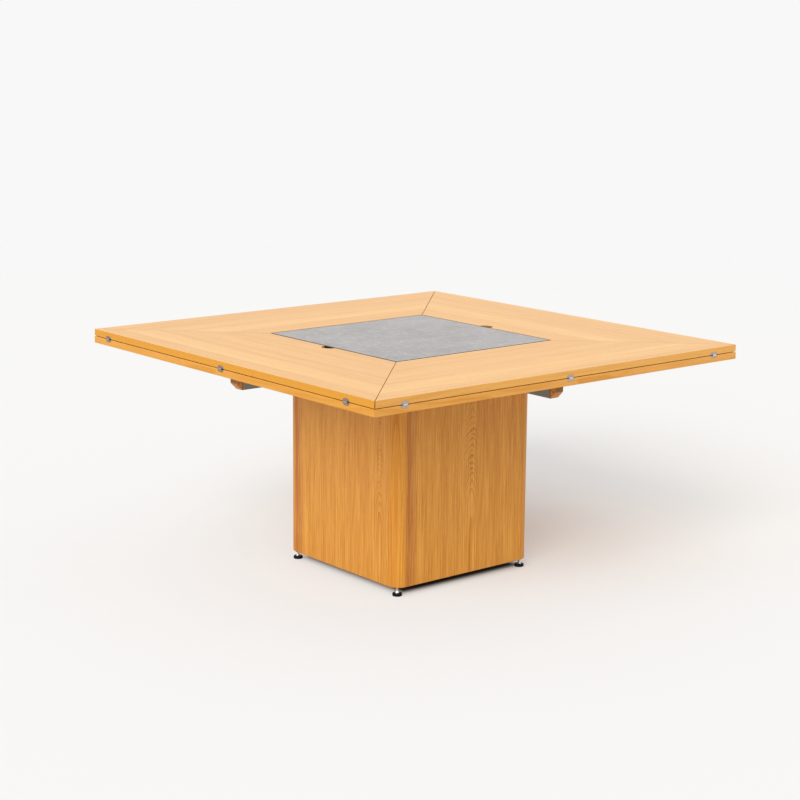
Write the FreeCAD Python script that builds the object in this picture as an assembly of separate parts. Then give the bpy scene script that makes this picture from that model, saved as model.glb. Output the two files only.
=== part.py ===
"""Swivel extending table: a square oak top of four fold-out leaves round a lift-out stone slab,
carried by pull-out lopers and a ball-bearing turntable on a square pedestal with screw feet.

Units are millimetres. +Z is up, the origin is on the floor under the middle of the table, and
the front is the -Y side. Every piece that exists on each of the four sides is made for the
front, or for the front left corner, and turned about the vertical axis.
"""

import FreeCAD, Part

import math
import os

from FreeCAD import Vector

# ------------------------------------------------------------------------ table top
TOP_HEIGHT = 720.0
TOP_SIDE = 1400.0
LEAF_THICKNESS = 20.6
SUB_TOP_THICKNESS = 20.6
SEAM_GAP = 2.2             # height of the felt dots between the sub top and the leaves
EDGE_ROUND = 1.0
MITRE_GAP = 2.0

STONE_SIDE = 614.0
STONE_THICKNESS = 20.0
STONE_GAP = 2.5            # slit round the slab
STONE_CORNER = 10.0
STONE_CHAMFER = 2.0
NOTCH_WIDTH = 50.0
NOTCH_DEPTH = 25.0

FELT_RADIUS = 6.0
FELT_SETBACK = 30.0        # from the edge of a leaf or of the slab to a dot's middle

# ---------------------------------------------------------------------- leaf hinges
# From each end of an edge to its outer hinges, seen from outside with the top upright.
HINGE_SETBACKS = {
    "front": (100.0, 100.0),
    "right": (100.0, 100.0),
    "back": (100.0, 100.0),
    "left": (84.0, 120.0),
}
HINGE_WIDTH = 28.0
HINGE_LIP = 8.0
HINGE_LIP_CORNER = 7.5
HINGE_FLANGE = 30.0
HINGE_PLATE = 2.0
HINGE_OUTSET = 0.15        # from the edge out to the axis, so open leaves clear the sub top
HINGE_CORNER = 3.0
KNUCKLE_RADIUS = 3.0
CENTRE_KNUCKLE = 6.0
OUTER_KNUCKLE = 4.0
KNUCKLE_GAP = 0.3
PIN_RADIUS = 1.5
RUNNING_CLEARANCE = 0.05
MORTISE_CLEARANCE = 0.5
HINGE_SCREW = {"shank": 1.75, "head": 3.3}
HINGE_SCREW_PITCH = 15.0
HINGE_SCREW_INSET = 12.0   # from the flange's inner end
HINGE_SCREW_COVER = 6.0    # wood left between a screw's tip and the board's far face

# --------------------------------------------------------------------------- lopers
LOPER_WIDTH = 30.0
LOPER_HEIGHT = 45.0
LOPER_WALL = 2.0
LOPER_CORNER = 2.0
LOPER_TOP_GAP = 1.0
LOPER_SIDE_GAP = 0.5
LOPER_BOTTOM_GAP = 0.5
LOPER_SETBACK = 43.0       # from the edge of the top to the nose
LOPER_INNER_SETBACK = 15.0 # from the rails' inner end to the tube's
LOPER_TRAVEL = 240.0
NOSE_LENGTH = 24.0
NOSE_SLOPE = 20.0          # leg of the slope under the nose
NOSE_EASE = 6.0            # radius at both ends of the slope
NOSE_TENON = 40.0
NOSE_ROUND = 1.5
STUD_RADIUS = 3.0
STUD_REACH = 4.0
STUD_SETBACK = 12.0
STUD_CLEARANCE = 0.5

RAIL_WIDTH = 28.0
RAIL_END_GAP = 1.5         # between the rails of two neighbouring sides
RAIL_SETBACK = 133.0       # from the tube's outer end to the rails'
RAIL_NOSE_CUT = 10.0
RAIL_SCREW = {"shank": 2.25, "head": 4.4}
RAIL_SCREW_GRIP = 12.0
RAIL_SCREW_INSET = 60.0
KEEPER_THICKNESS = 3.0
KEEPER_WIDTH = 30.0
KEEPER_MARGIN = 3.0        # from the rails' sloped end to the keeper
KEEPER_CORNER = 4.0
BOARD_SCREW = {"shank": 2.0, "head": 4.0}
BOARD_SCREW_GRIP = 17.0

# ---------------------------------------------------------------- swivel and bearing
SWIVEL_BOARD_THICKNESS = 18.0
SWIVEL_BOARD_GAP = 14.5    # between the board's rim and the pedestal's panels
TURNTABLE_RADIUS = 150.0
TURNTABLE_HEIGHT = 14.0
TURNTABLE_PLATE = 2.0
TURNTABLE_SCREW = {"shank": 1.9, "head": 3.6}
TURNTABLE_SCREW_COUNT = 6
TURNTABLE_SCREW_INSET = 10.0
TURNTABLE_SCREW_GRIP = 13.0
RACE_RADIUS = 120.0
RACE_WIDTH = 16.0
RACE_FLOOR = 0.3           # metal left under the groove, above the plate
BALL_COUNT = 16
BALL_CLEARANCE = 0.3
CAGE_THICKNESS = 3.2
CAGE_GAP = 0.4             # between the cage and each race
CAGE_POCKET_CLEARANCE = 0.2
COLLAR_RADIUS = 58.0
COLLAR_WALL = 2.0
COLLAR_FLANGE = 10.0
COLLAR_FLANGE_THICKNESS = 1.5
COLLAR_HEADROOM = 1.5      # from the collar's flange to the swivel board
RIM_GAP = 2.0              # between the collar and the upper plate's inner rim
RIM_WIDTH = 18.0
RIM_DROP = 1.0             # the rim hangs this far under the collar's flange

# ------------------------------------------------------------------------- pedestal
PEDESTAL_SIDE = 537.0
PEDESTAL_DROP = 10.0       # from the rails down to the pedestal's upper rim
POST_RADIUS = 37.0
PANEL_THICKNESS = 19.0
PANEL_SEAM = 0.5
BOTTOM_CHAMFER = 2.5
RIM_CHAMFER = 1.0
TOP_BOARD_THICKNESS = 25.0
BOTTOM_BOARD_THICKNESS = 18.0
BOTTOM_BOARD_RECESS = 5.0
BOARD_FIT = 0.3
BATTEN_SIZE = 28.0
BATTEN_END_GAP = 3.5
BATTEN_SCREW = {"shank": 2.0, "head": 4.0}
BATTEN_SCREW_INSET = 80.0
BATTEN_SCREW_GRIP = 10.0

# ----------------------------------------------------------------------------- feet
FOOT_HEIGHT = 27.0         # from the floor to the pedestal's underside
FOOT_INSET = 21.5          # from the pedestal's faces to the screw's axis
PAD_RADIUS = 14.5
PAD_HEIGHT = 9.0
PAD_ROUND = 2.8
PAD_CHAMFER = 0.8
FOOT_SEAT_GAP = 0.1
CONE_RADIUS = 7.0
CONE_HEIGHT = 5.0
PIVOT_RADIUS = 3.0
PIVOT_LENGTH = 5.0
STEM_RADIUS = 4.0
STEM_CHAMFER = 0.8
STEM_GRIP = 35.0           # length of the stem inside the pedestal
INSERT_RADIUS = 6.0
INSERT_LENGTH = 25.0
STEM_BORE_GAP = 0.6
FOOT_RAISE = 11.0          # how far the foot can be screwed in
BORE_SPARE = 4.0

# --------------------------------------------------------------------------- screws
POINT_LENGTH = 2.0         # a screw's point, as a multiple of its shank's radius
POINT_TIP = 0.25           # radius of the point's end, as a share of the shank's
RECESS_REACH = 0.6         # the cross recess, as shares of the head's radius
RECESS_WIDTH = 0.12
RECESS_DEPTH = 0.3
SAME_LENGTH = 1e-6         # two lengths that differ by less than this are the same

# ---------------------------------------------------------------- levels and places
half_top = TOP_SIDE / 2
leaf_underside = TOP_HEIGHT - LEAF_THICKNESS
hinge_axis_z = leaf_underside - SEAM_GAP / 2
sub_top_upper = leaf_underside - SEAM_GAP
sub_top_underside = sub_top_upper - SUB_TOP_THICKNESS
open_leaf_underside = sub_top_upper - LEAF_THICKNESS
loper_upper = min(sub_top_underside, open_leaf_underside) - LOPER_TOP_GAP
loper_underside = loper_upper - LOPER_HEIGHT
loper_middle_z = (loper_upper + loper_underside) / 2
rail_underside = loper_underside - LOPER_BOTTOM_GAP
swivel_board_underside = rail_underside - SWIVEL_BOARD_THICKNESS
turntable_underside = swivel_board_underside - TURNTABLE_HEIGHT
top_board_underside = turntable_underside - TOP_BOARD_THICKNESS
pedestal_rim = rail_underside - PEDESTAL_DROP
bottom_board_underside = FOOT_HEIGHT + BOTTOM_BOARD_RECESS
bottom_board_upper = bottom_board_underside + BOTTOM_BOARD_THICKNESS

stone_half = STONE_SIDE / 2
stone_underside = TOP_HEIGHT - STONE_THICKNESS
leaf_inner_edge = stone_half + STONE_GAP
mitre_step = MITRE_GAP / math.sqrt(2)
hinge_axis_y = -(half_top + HINGE_OUTSET)
hinge_screw_y = -half_top + HINGE_FLANGE - HINGE_SCREW_INSET
barrel_half = CENTRE_KNUCKLE / 2 + KNUCKLE_GAP + OUTER_KNUCKLE

loper_nose_end = half_top - LOPER_SETBACK
loper_outer_end = loper_nose_end - NOSE_LENGTH
rail_inner_face = LOPER_WIDTH / 2 + LOPER_SIDE_GAP
rail_outer_face = rail_inner_face + RAIL_WIDTH
rail_middle = (rail_inner_face + rail_outer_face) / 2
rail_inner_end = rail_outer_face + RAIL_END_GAP
rail_outer_end = loper_outer_end - RAIL_SETBACK
rail_height = sub_top_underside - rail_underside
keeper_place = rail_outer_end - RAIL_NOSE_CUT - KEEPER_MARGIN - KEEPER_WIDTH / 2
loper_inner_end = rail_inner_end + LOPER_INNER_SETBACK
stud_place = loper_inner_end + STUD_SETBACK

pedestal_half = PEDESTAL_SIDE / 2
post_centre = pedestal_half - POST_RADIUS
panel_inner_face = pedestal_half - PANEL_THICKNESS
swivel_board_radius = panel_inner_face - SWIVEL_BOARD_GAP
board_screw_place = (TURNTABLE_RADIUS + swivel_board_radius) / 2
ball_radius = TURNTABLE_HEIGHT / 2 - TURNTABLE_PLATE - RACE_FLOOR - BALL_CLEARANCE
race_height = TURNTABLE_HEIGHT / 2 - TURNTABLE_PLATE - CAGE_THICKNESS / 2 - CAGE_GAP
ball_z = turntable_underside + TURNTABLE_HEIGHT / 2
batten_half_length = post_centre - BATTEN_SIZE - BATTEN_END_GAP
foot_place = -(pedestal_half - FOOT_INSET)

UP = Vector(0, 0, 1)
DOWN = Vector(0, 0, -1)
SIDES = ("front", "right", "back", "left")
CORNERS = ("front_left", "front_right", "back_right", "back_left")
NOTCHED_SIDES = ("right", "left")


# --------------------------------------------------------------------------- helpers
def box(x_span, y_span, z_span):
    """Block between two values on each axis."""
    size = [span[1] - span[0] for span in (x_span, y_span, z_span)]
    return Part.makeBox(size[0], size[1], size[2], Vector(x_span[0], y_span[0], z_span[0]))


def upright(radius, z_span, x=0.0, y=0.0):
    """Vertical cylinder."""
    return Part.makeCylinder(radius, z_span[1] - z_span[0], Vector(x, y, z_span[0]), UP)


def ring(inner, outer, z_span):
    """Vertical tube about the Z axis."""
    return upright(outer, z_span).cut(upright(inner, z_span))


def along_x(radius, x_span, y, z):
    """Cylinder that lies along X."""
    return Part.makeCylinder(radius, x_span[1] - x_span[0], Vector(x_span[0], y, z), Vector(1, 0, 0))


def joined(shapes):
    """Union of several shapes, with no seams left on their common faces."""
    return shapes[0].fuse(list(shapes[1:])).removeSplitter()


def turned(shape, quarter):
    """Copy of a front piece, turned to another side of the table."""
    copy = shape.copy()
    copy.rotate(Vector(0, 0, 0), UP, 90.0 * quarter)
    return copy


def all_round(shapes):
    """Copies of the front pieces for all four sides."""
    return [turned(shape, quarter) for quarter in range(len(SIDES)) for shape in shapes]


def both_hands(shape):
    """A piece and its mirror image across the YZ plane."""
    return [shape, shape.mirror(Vector(0, 0, 0), Vector(1, 0, 0))]


def edges_at(shape, test):
    """Edges whose middle point passes the test."""
    return [edge for edge in shape.Edges if test(edge.CenterOfMass)]


def near(value, target):
    """True where two lengths agree."""
    return abs(value - target) < SAME_LENGTH


def screw_blank(size, length):
    """Countersunk screw pointing down, with its head's flat face at the origin."""
    head_height = size["head"] - size["shank"]
    point_height = POINT_LENGTH * size["shank"]
    head = Part.makeCone(size["head"], size["shank"], head_height, Vector(0, 0, 0), DOWN)
    shank = Part.makeCylinder(size["shank"], length - point_height, Vector(0, 0, 0), DOWN)
    tip_start = Vector(0, 0, point_height - length)
    tip = Part.makeCone(size["shank"], POINT_TIP * size["shank"], point_height, tip_start, DOWN)
    return joined([head, shank, tip])


def slotted(blank, size):
    """The screw with the cross recess in its head."""
    reach = RECESS_REACH * size["head"]
    width = RECESS_WIDTH * size["head"]
    depth = RECESS_DEPTH * size["head"]
    slot = box((-reach, reach), (-width, width), (-depth, depth))
    cross = slot.copy()
    cross.rotate(Vector(0, 0, 0), UP, 90)
    return blank.cut(slot).cut(cross)


def placed(shape, point, direction):
    """A downward piece moved to a point and turned to drive along a direction."""
    copy = shape.copy()
    copy.Placement = FreeCAD.Placement(point, FreeCAD.Rotation(DOWN, direction))
    return copy


def screws_and_holes(size, length, places):
    """Screws at (point, direction) places, and the solids that cut their holes."""
    blank = screw_blank(size, length)
    finished = slotted(blank, size)
    screws = [placed(finished, point, direction) for point, direction in places]
    holes = [placed(blank, point, direction) for point, direction in places]
    return screws, holes


def export(node, solids):
    """One STEP file for a node, which holds one solid or a group of separate ones."""
    shape = solids[0] if len(solids) == 1 else Part.makeCompound(solids)
    shape.exportStep("parts/" + node + ".step")


# ---------------------------------------------------------------------- leaf hinges
def hinge_places(side):
    """Places of a side's three hinges along its edge, with that side turned to the front."""
    near_end, far_end = HINGE_SETBACKS[side]
    return (near_end - half_top, 0.0, half_top - far_end)


def hinge_screw_places(places, z, direction):
    """Screw places of the hinges, on a flange face at height z."""
    offsets = (-HINGE_SCREW_PITCH / 2, HINGE_SCREW_PITCH / 2)
    return [(Vector(x + offset, hinge_screw_y, z), direction) for x in places for offset in offsets]


def angle_plate(x, seam_z, side, grow):
    """L plate of one hinge: a flange on the seam face and a lip on the table's edge.

    side is 1 for the leaf's plate, above the seam, and -1 for the sub top's plate, below it.
    grow widens it all round for the mortise.
    """
    half = HINGE_WIDTH / 2 + grow
    y_outer = -half_top
    flange_z = sorted((seam_z, seam_z + side * HINGE_PLATE))
    lip_z = sorted((seam_z, seam_z + side * (HINGE_LIP + grow)))
    flange = box((x - half, x + half), (y_outer, y_outer + HINGE_FLANGE + grow), flange_z)
    lip = box((x - half, x + half), (y_outer, y_outer + HINGE_PLATE), lip_z)
    lip_end = seam_z + side * (HINGE_LIP + grow)
    lip_corners = edges_at(lip, lambda middle: near(middle.z, lip_end) and near(abs(middle.x - x), half))
    lip = lip.makeFillet(HINGE_LIP_CORNER + grow, lip_corners)
    y_inner = y_outer + HINGE_FLANGE + grow
    corners = edges_at(flange, lambda middle: near(middle.y, y_inner) and near(abs(middle.x - x), half))
    return joined([flange.makeFillet(HINGE_CORNER, corners), lip])


def barrel(x, radius, stretches):
    """Cylinders on one hinge's axis over the given stretches along it."""
    return [along_x(radius, (x + start, x + end), hinge_axis_y, hinge_axis_z) for start, end in stretches]


def hinge_plate(x, seam_z, side):
    """One half of a hinge, with its knuckles, pin bore and countersunk holes."""
    centre = CENTRE_KNUCKLE / 2
    outer_start = centre + KNUCKLE_GAP
    centre_stretch = [(-centre, centre)]
    outer_stretches = [(-barrel_half, -outer_start), (outer_start, barrel_half)]
    centre_room = [(-outer_start, outer_start)]
    outer_room = [(-barrel_half - KNUCKLE_GAP, -centre), (centre, barrel_half + KNUCKLE_GAP)]
    own, room = (centre_stretch, outer_room) if side > 0 else (outer_stretches, centre_room)
    plate = angle_plate(x, seam_z, side, 0.0)
    for cutter in barrel(x, KNUCKLE_RADIUS + KNUCKLE_GAP, room):
        plate = plate.cut(cutter)
    plate = joined([plate] + barrel(x, KNUCKLE_RADIUS, own))
    bore_half = barrel_half + KNUCKLE_GAP
    for cutter in barrel(x, PIN_RADIUS + RUNNING_CLEARANCE, [(-bore_half, bore_half)]):
        plate = plate.cut(cutter)
    return plate


def mortises(places, seam_z, side):
    """Recesses for one edge's hinges, in a board above or below the seam."""
    reach = barrel_half + KNUCKLE_GAP
    cutters = []
    for x in places:
        cutters.append(angle_plate(x, seam_z, side, MORTISE_CLEARANCE))
        cutters += barrel(x, KNUCKLE_RADIUS + KNUCKLE_GAP, [(-reach, reach)])
    return cutters


def make_hinges(side):
    """Plates, pins and screws of one side, and what the boards lose to them, at the front."""
    places = hinge_places(side)
    leaf_length = LEAF_THICKNESS - HINGE_SCREW_COVER
    sub_length = SUB_TOP_THICKNESS - HINGE_SCREW_COVER
    leaf_places = hinge_screw_places(places, leaf_underside, UP)
    sub_places = hinge_screw_places(places, sub_top_upper, DOWN)
    leaf_screws, leaf_holes = screws_and_holes(HINGE_SCREW, leaf_length, leaf_places)
    sub_screws, sub_holes = screws_and_holes(HINGE_SCREW, sub_length, sub_places)
    return {
        "places": places,
        "leaf_plates": [hinge_plate(x, leaf_underside, 1).cut(leaf_holes) for x in places],
        "leaf_screws": leaf_screws,
        "leaf_cutters": mortises(places, leaf_underside, 1) + leaf_holes,
        "sub_plates": [hinge_plate(x, sub_top_upper, -1).cut(sub_holes) for x in places],
        "sub_screws": sub_screws,
        "sub_cutters": mortises(places, sub_top_upper, -1) + sub_holes,
        "pins": [barrel(x, PIN_RADIUS, [(-barrel_half, barrel_half)])[0] for x in places],
    }


# ------------------------------------------------------------------------ table top
def leaf_blank():
    """Front leaf before its cuts: a mitred board with its two outer edges rounded."""
    outer = half_top - mitre_step
    inner = leaf_inner_edge - mitre_step
    points = [
        Vector(-outer, -half_top, leaf_underside),
        Vector(outer, -half_top, leaf_underside),
        Vector(inner, -leaf_inner_edge, leaf_underside),
        Vector(-inner, -leaf_inner_edge, leaf_underside),
    ]
    face = Part.Face(Part.makePolygon(points + points[:1]))
    board = face.extrude(Vector(0, 0, LEAF_THICKNESS))
    outer_edges = edges_at(board, lambda middle: near(middle.y, -half_top) and near(middle.x, 0))
    return board.makeFillet(EDGE_ROUND, outer_edges)


def finger_notch():
    """Round scoop through a leaf's inner edge, as wide and deep as its two sizes say."""
    half = NOTCH_WIDTH / 2
    radius = (half ** 2 + NOTCH_DEPTH ** 2) / (2 * NOTCH_DEPTH)
    y = -(leaf_inner_edge + NOTCH_DEPTH) + radius
    return upright(radius, (leaf_underside, TOP_HEIGHT), 0.0, y)


def make_leaf(side, hinges):
    """One fold-out leaf, made at the front."""
    leaf = leaf_blank()
    for cutter in hinges["leaf_cutters"]:
        leaf = leaf.cut(cutter)
    if side in NOTCHED_SIDES:
        leaf = leaf.cut(finger_notch())
    return leaf


def make_sub_top(cutters):
    """Fixed square board under the leaves."""
    span = (-half_top, half_top)
    board = box(span, span, (sub_top_underside, sub_top_upper))
    middle_z = (sub_top_underside + sub_top_upper) / 2
    board = board.makeFillet(EDGE_ROUND, edges_at(board, lambda middle: not near(middle.z, middle_z)))
    for cutter in cutters:
        board = board.cut(cutter)
    return board


def make_stone():
    """Lift-out slab with round corners and sloped upper edges."""
    span = (-stone_half, stone_half)
    slab = box(span, span, (stone_underside, TOP_HEIGHT))
    middle_z = (stone_underside + TOP_HEIGHT) / 2
    slab = slab.makeFillet(STONE_CORNER, edges_at(slab, lambda middle: near(middle.z, middle_z)))
    return slab.makeChamfer(STONE_CHAMFER, edges_at(slab, lambda middle: near(middle.z, TOP_HEIGHT)))


def make_felt_dots(hinges):
    """Dots on the sub top that the leaves and the slab lie on."""
    leaf_span = (sub_top_upper, leaf_underside)
    stone_span = (sub_top_upper, stone_underside)
    inner_x = leaf_inner_edge - 2 * FELT_SETBACK
    inner_y = -(leaf_inner_edge + FELT_SETBACK)
    outer_y = -(half_top - HINGE_FLANGE - FELT_SETBACK)
    stone_place = stone_half - FELT_SETBACK
    dots = []
    for quarter, side in enumerate(SIDES):
        left, middle, right = hinges[side]["places"]
        front = [upright(FELT_RADIUS, leaf_span, x, inner_y) for x in (-inner_x, inner_x)]
        front += [upright(FELT_RADIUS, leaf_span, (middle + x) / 2, outer_y) for x in (left, right)]
        front.append(upright(FELT_RADIUS, stone_span, -stone_place, -stone_place))
        dots += [turned(dot, quarter) for dot in front]
    return dots


# --------------------------------------------------------------------------- lopers
def make_loper_tube():
    """Front loper: a steel tube with two stop studs at its inner end."""
    half = LOPER_WIDTH / 2
    y_span = (-loper_outer_end, -loper_inner_end)
    middle_y = sum(y_span) / 2
    outside = box((-half, half), y_span, (loper_underside, loper_upper))
    long_edges = edges_at(outside, lambda middle: near(middle.y, middle_y))
    outside = outside.makeFillet(LOPER_CORNER, long_edges)
    inside = half - LOPER_WALL
    hollow = box((-inside, inside), y_span, (loper_underside + LOPER_WALL, loper_upper - LOPER_WALL))
    stud_half = half + STUD_REACH
    studs = along_x(STUD_RADIUS, (-stud_half, stud_half), -stud_place, loper_middle_z)
    return joined([outside.cut(hollow), studs])


def make_loper_nose():
    """Wooden end of the front loper, sloped underneath, with a tenon in the tube."""
    half = LOPER_WIDTH / 2
    head = box((-half, half), (-loper_nose_end, -loper_outer_end), (loper_underside, loper_upper))
    front_face = edges_at(head, lambda middle: near(middle.y, -loper_nose_end))
    lower_front = [edge for edge in front_face if near(edge.CenterOfMass.z, loper_underside)]
    head = head.makeChamfer(NOSE_SLOPE, lower_front)
    slope_ends = [(-loper_nose_end, loper_underside + NOSE_SLOPE), (-loper_nose_end + NOSE_SLOPE, loper_underside)]
    ends = [edges_at(head, lambda middle: near(middle.y, y) and near(middle.z, z)) for y, z in slope_ends]
    head = head.makeFillet(NOSE_EASE, sum(ends, []))
    front_edges = edges_at(head, lambda middle: middle.y < -loper_outer_end - NOSE_ROUND)
    head = head.makeFillet(NOSE_ROUND, front_edges)
    inside = half - LOPER_WALL
    tenon_z = (loper_underside + LOPER_WALL, loper_upper - LOPER_WALL)
    tenon = box((-inside, inside), (-loper_outer_end, -loper_outer_end + NOSE_TENON), tenon_z)
    return joined([head, tenon])


def stud_groove():
    """Groove in a rail's inner face that a stop stud runs in."""
    half = STUD_RADIUS + STUD_CLEARANCE
    depth = LOPER_WIDTH / 2 + STUD_REACH + STUD_CLEARANCE
    y_span = (-(stud_place + LOPER_TRAVEL + half), -(stud_place - half))
    return box((0.0, depth), y_span, (loper_middle_z - half, loper_middle_z + half))


def make_rail():
    """Right-hand rail of the front pair, grooved for the stop stud and sloped at its outer end."""
    y_span = (-rail_outer_end, -rail_inner_end)
    rail = box((rail_inner_face, rail_outer_face), y_span, (rail_underside, sub_top_underside))
    lower_edges = edges_at(rail, lambda middle: near(middle.z, rail_underside))
    lower_end = [edge for edge in lower_edges if near(edge.CenterOfMass.y, -rail_outer_end)]
    return rail.makeChamfer(RAIL_NOSE_CUT, lower_end).cut(stud_groove())


def make_keeper():
    """Steel strap under the front rails, which holds the loper up."""
    half_width = KEEPER_WIDTH / 2
    y_span = (-keeper_place - half_width, -keeper_place + half_width)
    z_span = (rail_underside - KEEPER_THICKNESS, rail_underside)
    strap = box((-rail_outer_face, rail_outer_face), y_span, z_span)
    return strap.makeFillet(KEEPER_CORNER, edges_at(strap, lambda middle: near(middle.z, sum(z_span) / 2)))


def make_rail_set():
    """The front pair of rails and their keeper, with screws and the holes in the boards."""
    rail_places = []
    keeper_places = []
    swivel_places = []
    first = rail_inner_end + RAIL_SCREW_INSET
    last = keeper_place - RAIL_SCREW_INSET
    for x in (-rail_middle, rail_middle):
        rail_places += [(Vector(x, -y, rail_underside), UP) for y in (first, (first + last) / 2, last)]
        keeper_places.append((Vector(x, -keeper_place, rail_underside - KEEPER_THICKNESS), UP))
        swivel_places.append((Vector(x, -board_screw_place, swivel_board_underside), UP))
    rail_screws, rail_holes = screws_and_holes(RAIL_SCREW, rail_height + RAIL_SCREW_GRIP, rail_places)
    keeper_length = KEEPER_THICKNESS + BOARD_SCREW_GRIP
    keeper_screws, keeper_holes = screws_and_holes(BOARD_SCREW, keeper_length, keeper_places)
    swivel_length = SWIVEL_BOARD_THICKNESS + BOARD_SCREW_GRIP
    swivel_screws, swivel_holes = screws_and_holes(BOARD_SCREW, swivel_length, swivel_places)
    holes = rail_holes + keeper_holes + swivel_holes
    return {
        "rails": [hand.cut(holes) for hand in both_hands(make_rail())],
        "keeper": make_keeper().cut(keeper_holes),
        "rail_screws": rail_screws,
        "rail_holes": rail_holes,
        "board_screws": keeper_screws + swivel_screws,
        "swivel_holes": swivel_holes,
    }


# ---------------------------------------------------------------- swivel and bearing
def turntable_places(z, direction):
    """Screw places round a turntable plate."""
    step = 2 * math.pi / TURNTABLE_SCREW_COUNT
    angles = [step * (index + 0.5) for index in range(TURNTABLE_SCREW_COUNT)]
    radius = TURNTABLE_RADIUS - TURNTABLE_SCREW_INSET
    return [(Vector(radius * math.cos(a), radius * math.sin(a), z), direction) for a in angles]


def race(z_span):
    """Raised track with the groove that the balls run in."""
    track = ring(RACE_RADIUS - RACE_WIDTH / 2, RACE_RADIUS + RACE_WIDTH / 2, z_span)
    groove = Part.makeTorus(RACE_RADIUS, ball_radius + BALL_CLEARANCE, Vector(0, 0, ball_z), UP)
    return track.cut(groove)


def collar_flange_span():
    """Heights of the flange on the lower plate's collar."""
    top = swivel_board_underside - COLLAR_HEADROOM
    return (top - COLLAR_FLANGE_THICKNESS, top)


def make_lower_plate():
    """Fixed turntable plate, whose collar hooks over the upper plate."""
    base = turntable_underside
    plate_top = base + TURNTABLE_PLATE
    flange_z = collar_flange_span()
    collar_outer = COLLAR_RADIUS + COLLAR_WALL
    plate = joined([
        ring(COLLAR_RADIUS, TURNTABLE_RADIUS, (base, plate_top)),
        ring(COLLAR_RADIUS, collar_outer, (base, flange_z[1])),
        ring(COLLAR_RADIUS, collar_outer + COLLAR_FLANGE, flange_z),
        race((plate_top, plate_top + race_height)),
    ])
    length = TURNTABLE_PLATE + TURNTABLE_SCREW_GRIP
    screws, holes = screws_and_holes(TURNTABLE_SCREW, length, turntable_places(plate_top, DOWN))
    return plate.cut(holes), screws, holes


def make_upper_plate():
    """Turning plate, whose inner rim is held under the collar."""
    top = swivel_board_underside
    plate_underside = top - TURNTABLE_PLATE
    rim_inner = COLLAR_RADIUS + COLLAR_WALL + RIM_GAP
    rim_outer = rim_inner + RIM_WIDTH
    wall_inner = rim_outer - TURNTABLE_PLATE
    rim_top = collar_flange_span()[0] - RIM_DROP
    rim_underside = rim_top - COLLAR_FLANGE_THICKNESS
    plate = joined([
        ring(wall_inner, TURNTABLE_RADIUS, (plate_underside, top)),
        ring(wall_inner, rim_outer, (rim_underside, top)),
        ring(rim_inner, rim_outer, (rim_underside, rim_top)),
        race((plate_underside - race_height, plate_underside)),
    ])
    length = TURNTABLE_PLATE + TURNTABLE_SCREW_GRIP
    screws, holes = screws_and_holes(TURNTABLE_SCREW, length, turntable_places(plate_underside, UP))
    return plate.cut(holes), screws, holes


def make_balls():
    """Balls and the cage that keeps them apart."""
    step = 2 * math.pi / BALL_COUNT
    centres = []
    for index in range(BALL_COUNT):
        angle = step * index
        centres.append(Vector(RACE_RADIUS * math.cos(angle), RACE_RADIUS * math.sin(angle), ball_z))
    balls = [Part.makeSphere(ball_radius, centre) for centre in centres]
    half = CAGE_THICKNESS / 2
    span = (ball_z - half, ball_z + half)
    cage = ring(RACE_RADIUS - RACE_WIDTH / 2, RACE_RADIUS + RACE_WIDTH / 2, span)
    pocket = ball_radius + CAGE_POCKET_CLEARANCE
    for centre in centres:
        cage = cage.cut(upright(pocket, span, centre.x, centre.y))
    return balls, cage


def make_swivel_board(holes):
    """Round board that joins the rails to the turntable."""
    board = upright(swivel_board_radius, (swivel_board_underside, rail_underside))
    rims = edges_at(board, lambda middle: near(math.hypot(middle.x, middle.y), 0))
    board = board.makeChamfer(RIM_CHAMFER, rims)
    for cutter in holes:
        board = board.cut(cutter)
    return board


# ------------------------------------------------------------------------- pedestal
def make_panel(holes):
    """Front panel of the pedestal, between two posts."""
    x_span = (-post_centre, post_centre)
    y_span = (-pedestal_half, -panel_inner_face)
    panel = box(x_span, y_span, (FOOT_HEIGHT, pedestal_rim))
    face_edges = edges_at(panel, lambda middle: near(middle.y, -pedestal_half))
    upright_edges = [edge for edge in face_edges if near(abs(edge.CenterOfMass.x), post_centre)]
    panel = panel.makeChamfer(PANEL_SEAM, upright_edges)
    face_edges = edges_at(panel, lambda middle: near(middle.y, -pedestal_half))
    lower_edges = [edge for edge in face_edges if near(edge.CenterOfMass.z, FOOT_HEIGHT)]
    return panel.makeChamfer(BOTTOM_CHAMFER, lower_edges).cut(holes)


def make_post():
    """Front left corner post: a quarter round with the foot's bore in its underside."""
    height = pedestal_rim - FOOT_HEIGHT
    centre = Vector(-post_centre, -post_centre, FOOT_HEIGHT)
    post = Part.makeCylinder(POST_RADIUS, height, centre, UP, 90)
    post.rotate(centre, UP, 180)
    arcs = [edge for edge in post.Edges if edge.Curve.TypeId == "Part::GeomCircle"]
    lower = [edge for edge in arcs if near(edge.CenterOfMass.z, FOOT_HEIGHT)]
    post = post.makeChamfer(BOTTOM_CHAMFER, lower)
    insert_span = (FOOT_HEIGHT, FOOT_HEIGHT + INSERT_LENGTH)
    bore_span = (FOOT_HEIGHT, FOOT_HEIGHT + STEM_GRIP + FOOT_RAISE + BORE_SPARE)
    insert = upright(INSERT_RADIUS, insert_span, foot_place, foot_place)
    bore = upright(STEM_RADIUS + STEM_BORE_GAP, bore_span, foot_place, foot_place)
    return post.cut([insert, bore])


def inner_board(z_span):
    """Board that fills the inside of the pedestal, notched round the posts."""
    half = panel_inner_face - BOARD_FIT
    board = box((-half, half), (-half, half), z_span)
    corner_span = (-pedestal_half, -post_centre + BOARD_FIT)
    return board.cut(all_round([box(corner_span, corner_span, z_span)]))


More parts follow.
